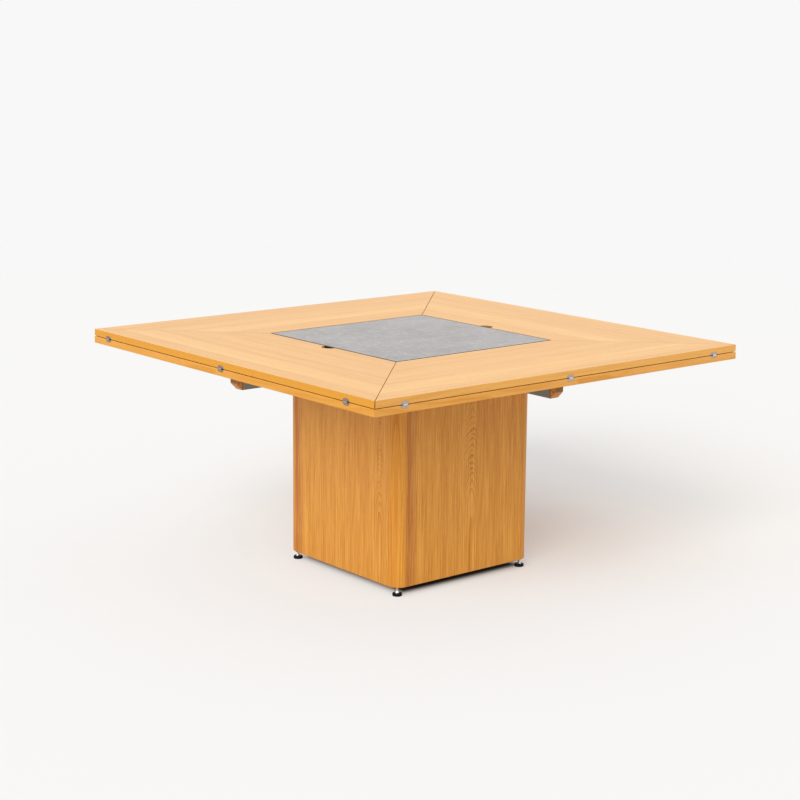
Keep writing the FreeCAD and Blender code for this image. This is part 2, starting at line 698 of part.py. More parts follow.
def make_battens():
    """Battens on the front panel, under the top board and on the bottom board, and their screws."""
    x_span = (-batten_half_length, batten_half_length)
    y_span = (-panel_inner_face, -panel_inner_face + BATTEN_SIZE)
    screw_x = batten_half_length - BATTEN_SCREW_INSET
    battens = []
    places = []
    for base in (top_board_underside - BATTEN_SIZE, bottom_board_upper):
        battens.append(box(x_span, y_span, (base, base + BATTEN_SIZE)))
        middle_z = base + BATTEN_SIZE / 2
        places += [(Vector(x, y_span[1], middle_z), Vector(0, -1, 0)) for x in (-screw_x, screw_x)]
    screws, holes = screws_and_holes(BATTEN_SCREW, BATTEN_SIZE + BATTEN_SCREW_GRIP, places)
    return [batten.cut(holes) for batten in battens], screws, holes


# ----------------------------------------------------------------------------- feet
def make_insert():
    """Threaded sleeve in the post's underside."""
    span = (FOOT_HEIGHT, FOOT_HEIGHT + INSERT_LENGTH)
    sleeve = upright(INSERT_RADIUS, span, foot_place, foot_place)
    return sleeve.cut(upright(STEM_RADIUS + RUNNING_CLEARANCE, span, foot_place, foot_place))


def make_pad():
    """Round pad on the floor, with the socket that the stem turns in."""
    pad = upright(PAD_RADIUS, (0.0, PAD_HEIGHT), foot_place, foot_place)
    pad = pad.makeFillet(PAD_ROUND, edges_at(pad, lambda middle: near(middle.z, PAD_HEIGHT)))
    pad = pad.makeChamfer(PAD_CHAMFER, edges_at(pad, lambda middle: near(middle.z, 0.0)))
    socket_z = PAD_HEIGHT - PIVOT_LENGTH - FOOT_SEAT_GAP
    return pad.cut(upright(PIVOT_RADIUS + RUNNING_CLEARANCE, (socket_z, PAD_HEIGHT), foot_place, foot_place))


def make_stem():
    """Chromed screw with a cone that stands on the pad and a pivot in its socket."""
    seat = PAD_HEIGHT + FOOT_SEAT_GAP
    pivot = upright(PIVOT_RADIUS, (seat - PIVOT_LENGTH, seat), foot_place, foot_place)
    cone = Part.makeCone(CONE_RADIUS, STEM_RADIUS, CONE_HEIGHT, Vector(foot_place, foot_place, seat), UP)
    stem_top = FOOT_HEIGHT + STEM_GRIP
    stem = upright(STEM_RADIUS, (seat, stem_top), foot_place, foot_place)
    stem = stem.makeChamfer(STEM_CHAMFER, edges_at(stem, lambda middle: near(middle.z, stem_top)))
    return joined([pivot, cone, stem])


# ---------------------------------------------------------------------------- table
def gathered(hinges, key):
    """One kind of hinge piece or cutter from all four sides, each turned to its own side."""
    return [turned(shape, quarter) for quarter, side in enumerate(SIDES) for shape in hinges[side][key]]


def export_top(hinges, rail_set, board_holes):
    """Everything that turns with the top, apart from the leaves, lopers and slab."""
    export("sub_top", [make_sub_top(gathered(hinges, "sub_cutters") + all_round(rail_set["rail_holes"]))])
    export("lower_hinge_plates", gathered(hinges, "sub_plates"))
    export("lower_hinge_screws", gathered(hinges, "sub_screws"))
    export("hinge_pins", gathered(hinges, "pins"))
    export("felt_dots", make_felt_dots(hinges))
    export("loper_rails", all_round(rail_set["rails"]))
    export("loper_keepers", all_round([rail_set["keeper"]]))
    export("rail_screws", all_round(rail_set["rail_screws"]))
    export("board_screws", all_round(rail_set["board_screws"]))
    export("swivel_board", [make_swivel_board(all_round(rail_set["swivel_holes"]) + board_holes)])


def export_leaf(side, quarter, hinges):
    """One leaf with its halves of the hinges."""
    export("leaf_" + side, [turned(make_leaf(side, hinges), quarter)])
    export("upper_hinge_plates_" + side, [turned(plate, quarter) for plate in hinges["leaf_plates"]])
    export("upper_hinge_screws_" + side, [turned(screw, quarter) for screw in hinges["leaf_screws"]])


def export_pedestal(board_holes):
    """Pedestal box with its boards and battens."""
    battens, screws, holes = make_battens()
    panel = make_panel(holes)
    post = make_post()
    for quarter, side in enumerate(SIDES):
        export("panel_" + side, [turned(panel, quarter)])
    for quarter, corner in enumerate(CORNERS):
        export("post_" + corner, [turned(post, quarter)])
    top_board = inner_board((top_board_underside, turntable_underside))
    export("pedestal_top_board", [top_board.cut(board_holes)])
    export("pedestal_bottom_board", [inner_board((bottom_board_underside, bottom_board_upper))])
    export("battens", all_round(battens))
    export("batten_screws", all_round(screws))


def export_feet():
    """Screw feet at the four corners."""
    export("foot_inserts", all_round([make_insert()]))
    pad = make_pad()
    stem = make_stem()
    for quarter, corner in enumerate(CORNERS):
        export("foot_pad_" + corner, [turned(pad, quarter)])
        export("foot_stem_" + corner, [turned(stem, quarter)])


def build():
    """Write every node of the table."""
    os.makedirs("parts", exist_ok=True)
    lower_plate, lower_screws, lower_holes = make_lower_plate()
    upper_plate, upper_screws, upper_holes = make_upper_plate()
    balls, cage = make_balls()
    export("turntable_lower_plate", [lower_plate])
    export("turntable_lower_screws", lower_screws)
    export("turntable_upper_plate", [upper_plate])
    export("turntable_upper_screws", upper_screws)
    export("bearing_balls", balls)
    export("ball_cage", [cage])

    hinges = {side: make_hinges(side) for side in SIDES}
    export_top(hinges, make_rail_set(), upper_holes)
    export("stone_slab", [make_stone()])
    tube = make_loper_tube()
    nose = make_loper_nose()
    for quarter, side in enumerate(SIDES):
        export_leaf(side, quarter, hinges[side])
        export("loper_tube_" + side, [turned(tube, quarter)])
        export("loper_nose_" + side, [turned(nose, quarter)])
    export_pedestal(lower_holes)
    export_feet()


build()
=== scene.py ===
"""Finishes of the swivel extending table, laid out as an add-on and run as a script.

Every size is in metres, +Z is up and the front is towards -Y.
"""

import math
from functools import partialmethod

import bpy
import numpy as np
from bpy.props import FloatProperty, FloatVectorProperty, PointerProperty
from mathutils import Matrix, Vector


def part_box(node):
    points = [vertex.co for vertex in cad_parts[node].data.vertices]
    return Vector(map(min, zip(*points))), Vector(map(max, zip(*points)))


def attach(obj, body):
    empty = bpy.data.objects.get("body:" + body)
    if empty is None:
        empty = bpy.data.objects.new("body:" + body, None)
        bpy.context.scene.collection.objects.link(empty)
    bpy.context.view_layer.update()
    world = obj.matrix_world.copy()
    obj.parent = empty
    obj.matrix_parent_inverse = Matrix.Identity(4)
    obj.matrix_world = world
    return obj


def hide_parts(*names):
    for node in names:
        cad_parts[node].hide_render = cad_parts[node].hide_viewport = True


bl_info = {
    "name": "Swivel extending table",
    "version": (1, 0, 0),
    "blender": (4, 5, 0),
    "location": "View3D > Sidebar > Table",
    "description": "Dresses the swivel extending table in oak, slate, steel and plastic",
    "category": "Object",
}

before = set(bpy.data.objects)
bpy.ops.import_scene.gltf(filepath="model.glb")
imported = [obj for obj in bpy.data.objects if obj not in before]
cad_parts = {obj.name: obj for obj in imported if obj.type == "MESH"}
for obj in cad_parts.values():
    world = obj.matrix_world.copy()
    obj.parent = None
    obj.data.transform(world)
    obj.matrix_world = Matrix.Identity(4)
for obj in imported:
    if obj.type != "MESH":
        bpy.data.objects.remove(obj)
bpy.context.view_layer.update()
node_boxes = {name: [list(corner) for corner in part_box(name)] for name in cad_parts}

SIDES = ("front", "right", "back", "left")
CORNERS = ("front_left", "front_right", "back_right", "back_left")

SLAB_HALF = node_boxes["stone_slab"][1][0]
TOP_HALF = node_boxes["sub_top"][1][0]

# How often a pattern repeats in a metre: across, through and along the grain, or the same every way.
DRIFT = (4.0, 4.0, 1.1)
WAVER = (38.0, 38.0, 4.0)
UNEVEN_ARCHES = (30.0, 30.0, 22.0)
GROWTH_STREAKS = (48.0, 48.0, 0.8)
FIBRES = (260.0, 260.0, 6.0)
RAY_FLECKS = (26.0, 90.0, 210.0)
PORES = (1500.0, 1500.0, 46.0)
BEECH_FLECKS = (900.0, 900.0, 170.0)
SLATE_CLOUDS = 9.0
SLATE_VEINS = (60.0, 40.0, 60.0)
FELT_FIBRES = 2600.0
BRUSHING = 2200.0
COARSE_BRUSHING = 1400.0
PLATING = 500.0
RUBBED_PATCHES = 70.0
PAINT_PEEL = 900.0
MOULD_SKIN = 2400.0
MOULD_HAZE = 60.0
FLOOR_CLOUDS = 2.0

# No two sides share a board: front and back are cut one shift along the grain, to either side, and the
# flanks two. What is past FLANK_SHIFT is a flank.
SIDE_SHIFT = 1.37
FLANK_SHIFT = 1.5 * SIDE_SHIFT

# How far an edge and a face point up, from 0 for upright to 1 for level.
EDGE_RISE = 0.3
FACE_RISE = 0.9

# Length over which a growth ring's arch bends over at its top.
ARCH_ROUNDING = 0.04

# Reliefs too fine to be sizes of their own.
BRUSHED_DEPTH = 0.00003
POLISHED_DEPTH = 0.00001
PEEL_DEPTH = 0.00005
MOULD_DEPTH = 0.00008

# Scene-linear darks that a finish fades into; the floor's is a painted shadow under the pedestal.
FELT_DEPTHS = (0.02, 0.019, 0.017, 1.0)
RUBBED_DARK = (0.12, 0.12, 0.12, 1.0)
PAINTED_PEDESTAL_SHADOW = (0.02, 0.015, 0.01, 1.0)

# Each panel's own board, as panel_oak takes it.
PANEL_BOARDS = {
    "front": dict(across=0.022, behind=0.07, heart=0.29, taper=0.15, flank=0.9, figure=0.47, flecks=0.0),
    "right": dict(across=-0.05, behind=0.07, heart=0.1, taper=0.12, flank=1.0, figure=0.45, flecks=0.05),
    "back": dict(across=0.04, behind=0.09, heart=0.4, taper=0.13, flank=0.9, figure=0.45, flecks=0.05),
    "left": dict(across=0.19, behind=0.04, heart=0.26, taper=0.16, flank=1.4, figure=0.28, flecks=0.04),
}

# Fineness of the meshes, and the angle in degrees from which an edge is sharp.
STEM_COLUMNS = 40
ROWS_PER_TURN = 8.0
FLOOR_RINGS = 12
FLOOR_SPOKES = 64
SHARP_FROM = 38.0

# Where the thread starts above the cone, and the slope and the flat of its groove.
THREAD_START = 0.0002
GROOVE_SLOPE = 1.35
GROOVE_FLAT = 0.12


# ---- sizes and colours
def paint(red, green, blue):
    """The scene-linear colour, with full alpha, of a display colour from 0 to 255."""
    display = np.array([red, green, blue]) / 255.0
    linear = np.where(display <= 0.04045, display / 12.92, ((display + 0.055) / 1.055) ** 2.4)
    return (*(float(part) for part in linear), 1.0)


def colour(name, description, *display):
    """A colour setting."""
    return FloatVectorProperty(name=name, description=description, subtype="COLOR", size=4,
                               min=0.0, max=1.0, default=paint(*display))


def length(name, description, default):
    """A length setting in metres."""
    return FloatProperty(name=name, description=description, default=default, unit="LENGTH", precision=5)


def share(name, description, default):
    """A setting from none to all."""
    return FloatProperty(name=name, description=description, default=default, subtype="FACTOR",
                         min=0.0, max=1.0)


def number(name, description, default):
    """A plain number setting."""
    return FloatProperty(name=name, description=description, default=default)


def turn(name, description, degrees):
    """An angle setting, given in degrees."""
    return FloatProperty(name=name, description=description, default=math.radians(degrees),
                         subtype="ANGLE", unit="ROTATION")


class TimberSettings(bpy.types.PropertyGroup):
    """Colours, grain and lacquer of the wooden parts."""

    # The leaf colours are paler than the edge colours partly as veneer against solid wood and partly as
    # painted light: the top is painted lighter for the light and sheen from above.
    leaf_light: colour("Leaf, light", "Pale growth in the leaves' veneer", 247, 198, 128)
    leaf_dark: colour("Leaf, dark", "Dark growth in the leaves' veneer", 219, 161, 94)
    edge_light: colour("Leaf edge, light", "Pale growth in the leaves' solid edges", 236, 178, 94)
    edge_dark: colour("Leaf edge, dark", "Dark growth in the leaves' solid edges", 208, 147, 64)
    # Painted warm light: the left edges are made a richer orange for the light falling on them from the
    # left.
    deep_edge: colour("Left edge", "Richer board that the left edges are cut from", 214, 147, 20)
    # Painted shade: this colour darkens the finger notches' walls where shade falls in the recess.
    notch_wall: colour("Notch wall", "Wood darkened by fingers in the finger notches", 158, 112, 70)
    board_light: colour("Sub top, light", "Pale growth in the sub top", 232, 172, 90)
    board_dark: colour("Sub top, dark", "Dark growth in the sub top", 206, 138, 44)
    panel_light: colour("Panel, light", "Pale growth in the pedestal panels", 234, 177, 84)
    panel_dark: colour("Panel, dark", "Dark growth in the pedestal panels", 179, 103, 2)
    stripe_dark: colour("Stripe", "Reddish strip at the left end of each panel", 172, 102, 48)
    post_light: colour("Post, light", "Pale growth in the corner posts", 228, 169, 74)
    post_dark: colour("Post, dark", "Dark growth in the corner posts", 180, 104, 2)
    nose_light: colour("Nose, light", "Pale growth in the loper noses", 214, 150, 70)
    nose_dark: colour("Nose, dark", "Dark growth in the loper noses", 138, 90, 42)
    # On a nose's end this colour is darker end grain; in the band beside the tube it is painted shade at the
    # joint.
    nose_stain: colour("Nose stain", "Dirt on a nose's end and beside the tube", 96, 68, 44)
    nose_knot: colour("Nose knot", "Reddish knot in each side of a nose", 172, 74, 18)
    pores: colour("Pores", "Bottom of the open pores", 146, 78, 4)
    hardwood_light: colour("Beech, light", "Pale growth in rails and battens", 224, 184, 134)
    hardwood_dark: colour("Beech, dark", "Dark growth in rails and battens", 196, 148, 98)
    ply_light: colour("Plywood face", "Face veneer of the plywood", 226, 196, 150)
    ply_dark: colour("Plywood glue line", "Lines between the plies", 158, 116, 74)
    ring_spacing: length("Ring spacing", "Width of one year's growth", 0.0034)
    panel_ring_spacing: length("Panel ring spacing", "Width of one year's growth in the panels", 0.0026)
    near_band: length("Pale band, front and left", "From the middle to the pale band in these leaves", 0.6)
    far_band: length("Pale band, back and right", "From the middle to the pale band in these leaves", 0.44)
    band_core: length("Band core", "Half the width of the pale band", 0.026)
    band_reach: length("Band reach", "From the pale band's middle to where it is gone", 0.05)
    notch_reach: length("Notch reach", "From the slab's edge past the finger notches", 0.03)
    notch_half: length("Notch half width", "From a notch's middle to its end at the leaf's edge", 0.0252)
    ply: length("Ply", "Thickness of one ply", 0.0017)
    stripe_width: length("Stripe width", "Width of the strip beside each post", 0.038)
    streak_place: length("Streak place", "From a panel's end to the dark streak in its strip", 0.0114)
    streak_core: length("Streak core", "Half the width of the dark streak", 0.001)
    streak_reach: length("Streak reach", "From the streak's middle to where it is gone", 0.005)
    joint_line: length("Joint line", "Width of the glue line at a joint", 0.0011)
    lipping: length("Lipping", "Width of the sub top's solid edge", 0.022)
    knot_setback: length("Knot setback", "From a nose's end back to its knot", 0.009)
    knot_drop: length("Knot drop", "From a nose's top down to its knot", 0.0256)
    knot_core: length("Knot core", "Radius of the knot's heart", 0.002)
    knot_reach: length("Knot reach", "From the knot's middle to where it is gone", 0.007)
    # The band beside the tube is painted shade at the joint.
    dirt_core: length("Dirt core", "Width of the dirt beside the tube", 0.0015)
    dirt_reach: length("Dirt reach", "From the tube to where the dirt is gone", 0.007)
    end_skin: length("End skin", "Depth at which a nose's end still counts as its end", 0.0004)
    lacquer: share("Lacquer roughness", "Roughness of the satin lacquer", 0.36)
    pore_stain: share("Pore stain", "How much darker the lacquer leaves the pores", 0.36)
    lacquer_ior: number("Lacquer IOR", "Refraction of the lacquer", 1.36)
    relief: length("Pore depth", "Depth of the open pores under the lacquer", 0.00006)


class SlabSettings(bpy.types.PropertyGroup):
    """Slate slab and the felt under it."""

    slate: colour("Slate", "Body of the stone", 169, 167, 168)
    slate_dark: colour("Slate, dark", "Darker clouds in the stone", 150, 147, 147)
    fleck: colour("Fleck", "Pale grains in the stone", 206, 204, 200)
    # Partly the raw stone of the cut edges, partly painted shade of the gap round the slab.
    sawn: colour("Sawn edge", "Dark sawn edges of the slab", 20, 15, 11)
    felt: colour("Felt", "Felt dots between the layers", 74, 70, 64)
    grain: length("Stone grain", "Size of the grains in the stone", 0.0022)
    fleck_spacing: length("Fleck spacing", "Distance between the pale flecks", 0.011)
    # Painted shade: a dark strip on the top face's rim stands for the shadow of the gap to the leaves.
    arris: length("Arris", "Width of the dark border along the slab's edges", 0.005)
    stone_relief: length("Stone relief", "Depth of the honed face's relief", 0.00012)
    felt_relief: length("Felt relief", "Depth between the felt's fibres", 0.0004)
    honed: share("Honed roughness", "Roughness of the honed face", 0.44)


class MetalSettings(bpy.types.PropertyGroup):
    """Metal finishes."""

    hinge: colour("Hinge steel", "Satin steel of the hinge plates", 198, 180, 166)
    # Painted shade: the left edge's hinges are darkened for how the light falls on them.
    tarnish: colour("Tarnish", "Darkened steel of the left edge's hinges", 104, 84, 74)
    # Painted highlight: this colour stands for light caught on the round knuckles.
    knuckle: colour("Knuckle", "Rubbed knuckles of the hinges", 232, 230, 230)
    bright: colour("Bright steel", "Pins, screws and balls", 214, 214, 214)
    tube: colour("Loper tube", "Painted steel tube", 118, 118, 113)
    zinc: colour("Zinc plate", "Plated steel of the turntable", 190, 193, 196)
    brass: colour("Brass", "Threaded inserts of the feet", 204, 168, 96)
    chrome: colour("Chrome", "Plated foot screws", 226, 227, 229)
    # Where the knuckles' painted highlight, and their lower roughness, start and are full.
    rubbed_from: length("Rubbed from", "How far past the edge a knuckle starts to be rubbed", 0.0002)
    rubbed_to: length("Rubbed to", "How far past the edge a knuckle is bright", 0.0012)
    # How far in from the left edge the hinges' painted shade reaches.
    left_plates: length("Left plates", "How far in from the left edge its hinges are tarnished", 0.004)
    satin: share("Satin roughness", "Roughness of the hinge steel", 0.34)
    polished: share("Polished roughness", "Roughness of the chrome", 0.1)


class FootSettings(bpy.types.PropertyGroup):
    """Levelling feet, and the moulded plastics."""

    pad: colour("Pad", "Moulded pad on the floor", 18, 18, 19)
    nylon: colour("Nylon", "Cage of the bearing balls", 226, 223, 212)
    stem_radius: length("Stem radius", "Outside radius of the thread", 0.004)
    pitch: length("Pitch", "Pitch of the foot's thread", 0.00125)
    thread_depth: length("Thread depth", "Depth of the foot's thread", 0.00066)
    stem_chamfer: length("Stem chamfer", "Chamfer at the stem's upper end", 0.0008)
    cone_radius: length("Cone radius", "Foot of the cone on the pad", 0.007)
    cone_height: length("Cone height", "Height of the cone on the pad", 0.005)
    cone_lip: length("Cone lip", "Rounding of the cone's foot", 0.0003)
    pivot_radius: length("Pivot radius", "Peg under the cone", 0.003)
    pivot_length: length("Pivot length", "How far the peg reaches into the pad", 0.005)
    pivot_chamfer: length("Pivot chamfer", "Chamfer at the peg's lower end", 0.0004)


class StageSettings(bpy.types.PropertyGroup):
    """Floor, lamps and camera."""

    floor: colour("Floor", "Plain pale floor", 236, 235, 234)
    backdrop: colour("Backdrop", "What is seen past the floor", 248, 248, 248)
    floor_radius: length("Floor radius", "Reach of the floor from the table's middle", 9.0)
    sky: number("Sky", "Strength of the soft light at the horizon", 0.45)
    overhead: number("Overhead", "Light added towards the zenith", 0.62)
    key: number("Key", "Strength of the soft lamp from the left", 1.85)
    veil: share("Floor veil", "How far the floor is lifted to the backdrop where it is looked at", 0.68)
    # Painted shadow: the dark patch under the pedestal is painted into the floor's colour.
    shelter: length("Shelter", "Half the side of the dark patch under the pedestal", 0.216)
    shelter_fade: length("Shelter fade", "From the dark patch to the open floor", 0.035)
    shelter_shift: length("Shelter shift", "How far the light from the left moves the dark patch", 0.02)
    shade_place: FloatVectorProperty(name="Shade place", size=2, default=(1.15, 0.5),
                                     description="Middle of the lamp's shadow on the floor")
    shade_core: length("Shade core", "Radius in which the floor keeps all of its tone", 0.5)
    shade_reach: length("Shade reach", "Radius past which the floor is lifted in full", 1.7)
    key_colour: colour("Key colour", "Colour of the soft lamp", 255, 248, 236)
    key_azimuth: turn("Key azimuth", "Direction of the lamp round the table, from the front", -60.0)
    key_height: turn("Key height", "Height of the lamp above the horizon", 28.0)
    key_spread: turn("Key spread", "Width of the lamp, which softens its shadow", 34.0)
    camera_place: FloatVectorProperty(name="Camera place", description="Where the camera stands", size=3,
                                      subtype="TRANSLATION", default=(-3.56855273, -4.27115754, 1.66584046))
    camera_azimuth: turn("Camera azimuth", "Heading from which the camera looks", -39.57564737)
    camera_height: turn("Camera height", "Angle by which the camera looks down", 11.62716538)
    camera_roll: turn("Camera roll", "Tilt of the camera to the left", 0.49687795)
    camera_lens: number("Lens", "Focal length in millimetres", 82.603)
    camera_sensor: number("Sensor", "Width of the picture plane in millimetres", 36.0)


# ---- node trees
class Wiring:
    """Adds nodes to one node tree. A value is either a plain number or colour, or another node's output."""

    def __init__(self, tree):
        self.tree = tree

    def add(self, kind, **settings):
        node = self.tree.nodes.new(kind)
        for name, setting in settings.items():
            setattr(node, name, setting)
        return node

    def plug(self, target, source):
        if isinstance(source, bpy.types.NodeSocket):
            self.tree.links.new(source, target)
        else:
            target.default_value = source

    def plug_named(self, node, values):
        """The node's outputs, once the values are plugged into the inputs of those names."""
        for name, source in values.items():
            self.plug(node.inputs[name], source)
        return node.outputs

    def plug_in_order(self, node, *sources):
        """The node's first output, once the sources are plugged into its first inputs."""
        for target, source in zip(node.inputs, sources):
            self.plug(target, source)
        return node.outputs[0]

    def work_out(self, operation, *sources, clamp=False):
        return self.plug_in_order(self.add("ShaderNodeMath", operation=operation, use_clamp=clamp), *sources)

    plus = partialmethod(work_out, "ADD")
    minus = partialmethod(work_out, "SUBTRACT")
    times = partialmethod(work_out, "MULTIPLY")
    times_plus = partialmethod(work_out, "MULTIPLY_ADD")
    over = partialmethod(work_out, "DIVIDE")
    larger = partialmethod(work_out, "MAXIMUM")
    smaller = partialmethod(work_out, "MINIMUM")
    below = partialmethod(work_out, "LESS_THAN")
    above = partialmethod(work_out, "GREATER_THAN")
    absolute = partialmethod(work_out, "ABSOLUTE")
    root = partialmethod(work_out, "SQRT")
    floor = partialmethod(work_out, "FLOOR")
    fraction = partialmethod(work_out, "FRACT")
    sign = partialmethod(work_out, "SIGN")

    def distance(self, x, y):
        """sqrt(x^2 + y^2)."""
        return self.root(self.plus(self.times(x, x), self.times(y, y)))

    def square_reach(self, x, y):
        """The larger of |x| and |y|, which is the same all round a square."""
        return self.larger(self.absolute(x), self.absolute(y))

    def ease(self, value, low, high, bottom=0.0, top=1.0):
        """From bottom at low to top at high, level at both ends."""
        node = self.add("ShaderNodeMapRange", interpolation_type="SMOOTHSTEP")
        return self.plug_in_order(node, value, low, high, bottom, top)

    def fade(self, value, near, far, top=1.0):
        """Top as far as near, and nothing past far."""
        return self.ease(value, near, far, top, 0.0)

    def parts(self, vector):
        node = self.add("ShaderNodeSeparateXYZ")
        self.plug(node.inputs[0], vector)
        return tuple(node.outputs)

    def whole(self, x, y, z):
        return self.plug_in_order(self.add("ShaderNodeCombineXYZ"), x, y, z)

    def turned(self, vector, angle):
        """The vector turned round Z."""
        node = self.add("ShaderNodeMapping")
        return self.plug_named(node, {"Vector": vector, "Rotation": (0.0, 0.0, angle)})[0]

    def repeated(self, vector, rate):
        """The vector for a pattern that repeats at the rate, which is one number or three."""
        rates = (rate,) * 3 if isinstance(rate, float) else rate
        return self.plug_in_order(self.add("ShaderNodeVectorMath", operation="MULTIPLY"), vector, rates)

    def noise(self, vector, rate, detail=2.0, roughness=0.5, distortion=0.0):
        values = {"Vector": self.repeated(vector, rate), "Scale": 1.0, "Detail": detail,
                  "Roughness": roughness, "Distortion": distortion}
        return self.plug_named(self.add("ShaderNodeTexNoise"), values)[0]

    def swing(self, vector, rate, detail=2.0, roughness=0.5):
        """Noise round nought instead of round a half."""
        return self.minus(self.noise(vector, rate, detail, roughness), 0.5)

    def cells(self, vector, rate):
        values = {"Vector": self.repeated(vector, rate), "Scale": 1.0}
        return self.plug_named(self.add("ShaderNodeTexVoronoi"), values)["Distance"]

    def chance(self, number):
        return self.plug_named(self.add("ShaderNodeTexWhiteNoise", noise_dimensions="1D"), {"W": number})[0]

    def mixed(self, kind, places, *sources):
        """A Mix node, whose inputs and output for each kind of value lie in their own places."""
        node = self.add("ShaderNodeMix", data_type=kind)
        for place, source in zip(places, sources):
            self.plug(node.inputs[place], source)
        return node.outputs

    def blend(self, factor, first, second):
        """A colour between two."""
        return self.mixed("RGBA", (0, 6, 7), factor, first, second)[2]

    def choose(self, factor, first, second):
        """A vector between two."""
        return self.mixed("VECTOR", (0, 4, 5), factor, first, second)[1]

    def stain(self, base, mask, amount, tint):
        """The base colour with a tint laid over it, as strong as the mask times the amount."""
        return self.blend(self.times(mask, amount), base, tint)

    def between(self, factor, first, second):
        """A surface between two."""
        return self.plug_in_order(self.add("ShaderNodeMixShader"), factor, first, second)

    def finish(self, shader, tint, roughness, height, depth, strength=1.0):
        """Gives a surface shader its colour, its roughness and a relief of that depth."""
        values = {"Height": height, "Distance": depth, "Strength": strength}
        normal = self.plug_named(self.add("ShaderNodeBump"), values)[0]
        self.plug_named(shader, {"Base Color": tint, "Roughness": roughness, "Normal": normal})

    def group(self, maker, **values):
        """The outputs of a shared group, which its maker builds the first time it is asked for."""
        tree = bpy.data.node_groups.get(maker.__name__) or maker()
        node = self.add("ShaderNodeGroup", node_tree=tree)
        return self.plug_named(node, {name.replace("_", " ").title(): values[name] for name in values})

    def place(self):
        """The point of the surface in the piece's own frame."""
        return self.add("ShaderNodeTexCoord").outputs["Object"]

    def rise(self):
        """How far the surface points up in the piece's own frame, which turns with it."""
        return self.parts(self.add("ShaderNodeTexCoord").outputs["Normal"])[2]


def new_group(name, inputs, outputs):
    """A shader node group: its tree, its wiring, and the sockets inside it to read from and to plug into.

    Inputs and outputs give each socket's name and default. A socket without a default carries a vector.
    """
    tree = bpy.data.node_groups.new(name, "ShaderNodeTree")
    for side, sockets in (("INPUT", inputs), ("OUTPUT", outputs)):
        for label, default in sockets.items():
            kind = "NodeSocketVector" if default is None else "NodeSocketFloat"
            socket = tree.interface.new_socket(name=label, in_out=side, socket_type=kind)
            if default is not None:
                socket.default_value = default
    wiring = Wiring(tree)
    return tree, wiring, wiring.add("NodeGroupInput").outputs, wiring.add("NodeGroupOutput").inputs


def new_material(name):
    """An empty material: itself, its wiring and its surface shader."""
    material = bpy.data.materials.new(name)
    material.use_nodes = True
    return material, Wiring(material.node_tree), material.node_tree.nodes["Principled BSDF"]


def grain_directions():
    """Grain coordinates that follow the four sides, each as across, through and along the grain.

    Front and back have |y| > |x|. Round runs along the table's edge, Outward runs away from the middle.
    Shift is different on each side, so that no two boards are cut from the same place.
    """
    outputs = {"Round": None, "Outward": None, "Shift": 0.0}
    tree, w, _, out = new_group("grain_directions", {}, outputs)
    x, y, z = w.parts(w.place())
    on_flank = w.above(w.absolute(x), w.absolute(y))
    w.plug(out["Round"], w.choose(on_flank, w.whole(y, z, x), w.whole(x, z, y)))
    w.plug(out["Outward"], w.choose(on_flank, w.whole(x, z, y), w.whole(y, z, x)))
    flank_steps = w.times(w.sign(x), w.times(on_flank, 2.0))
    steps = w.plus(w.times(w.sign(y), w.minus(1.0, on_flank)), flank_steps)
    w.plug(out["Shift"], w.times(steps, SIDE_SHIFT))
    return tree


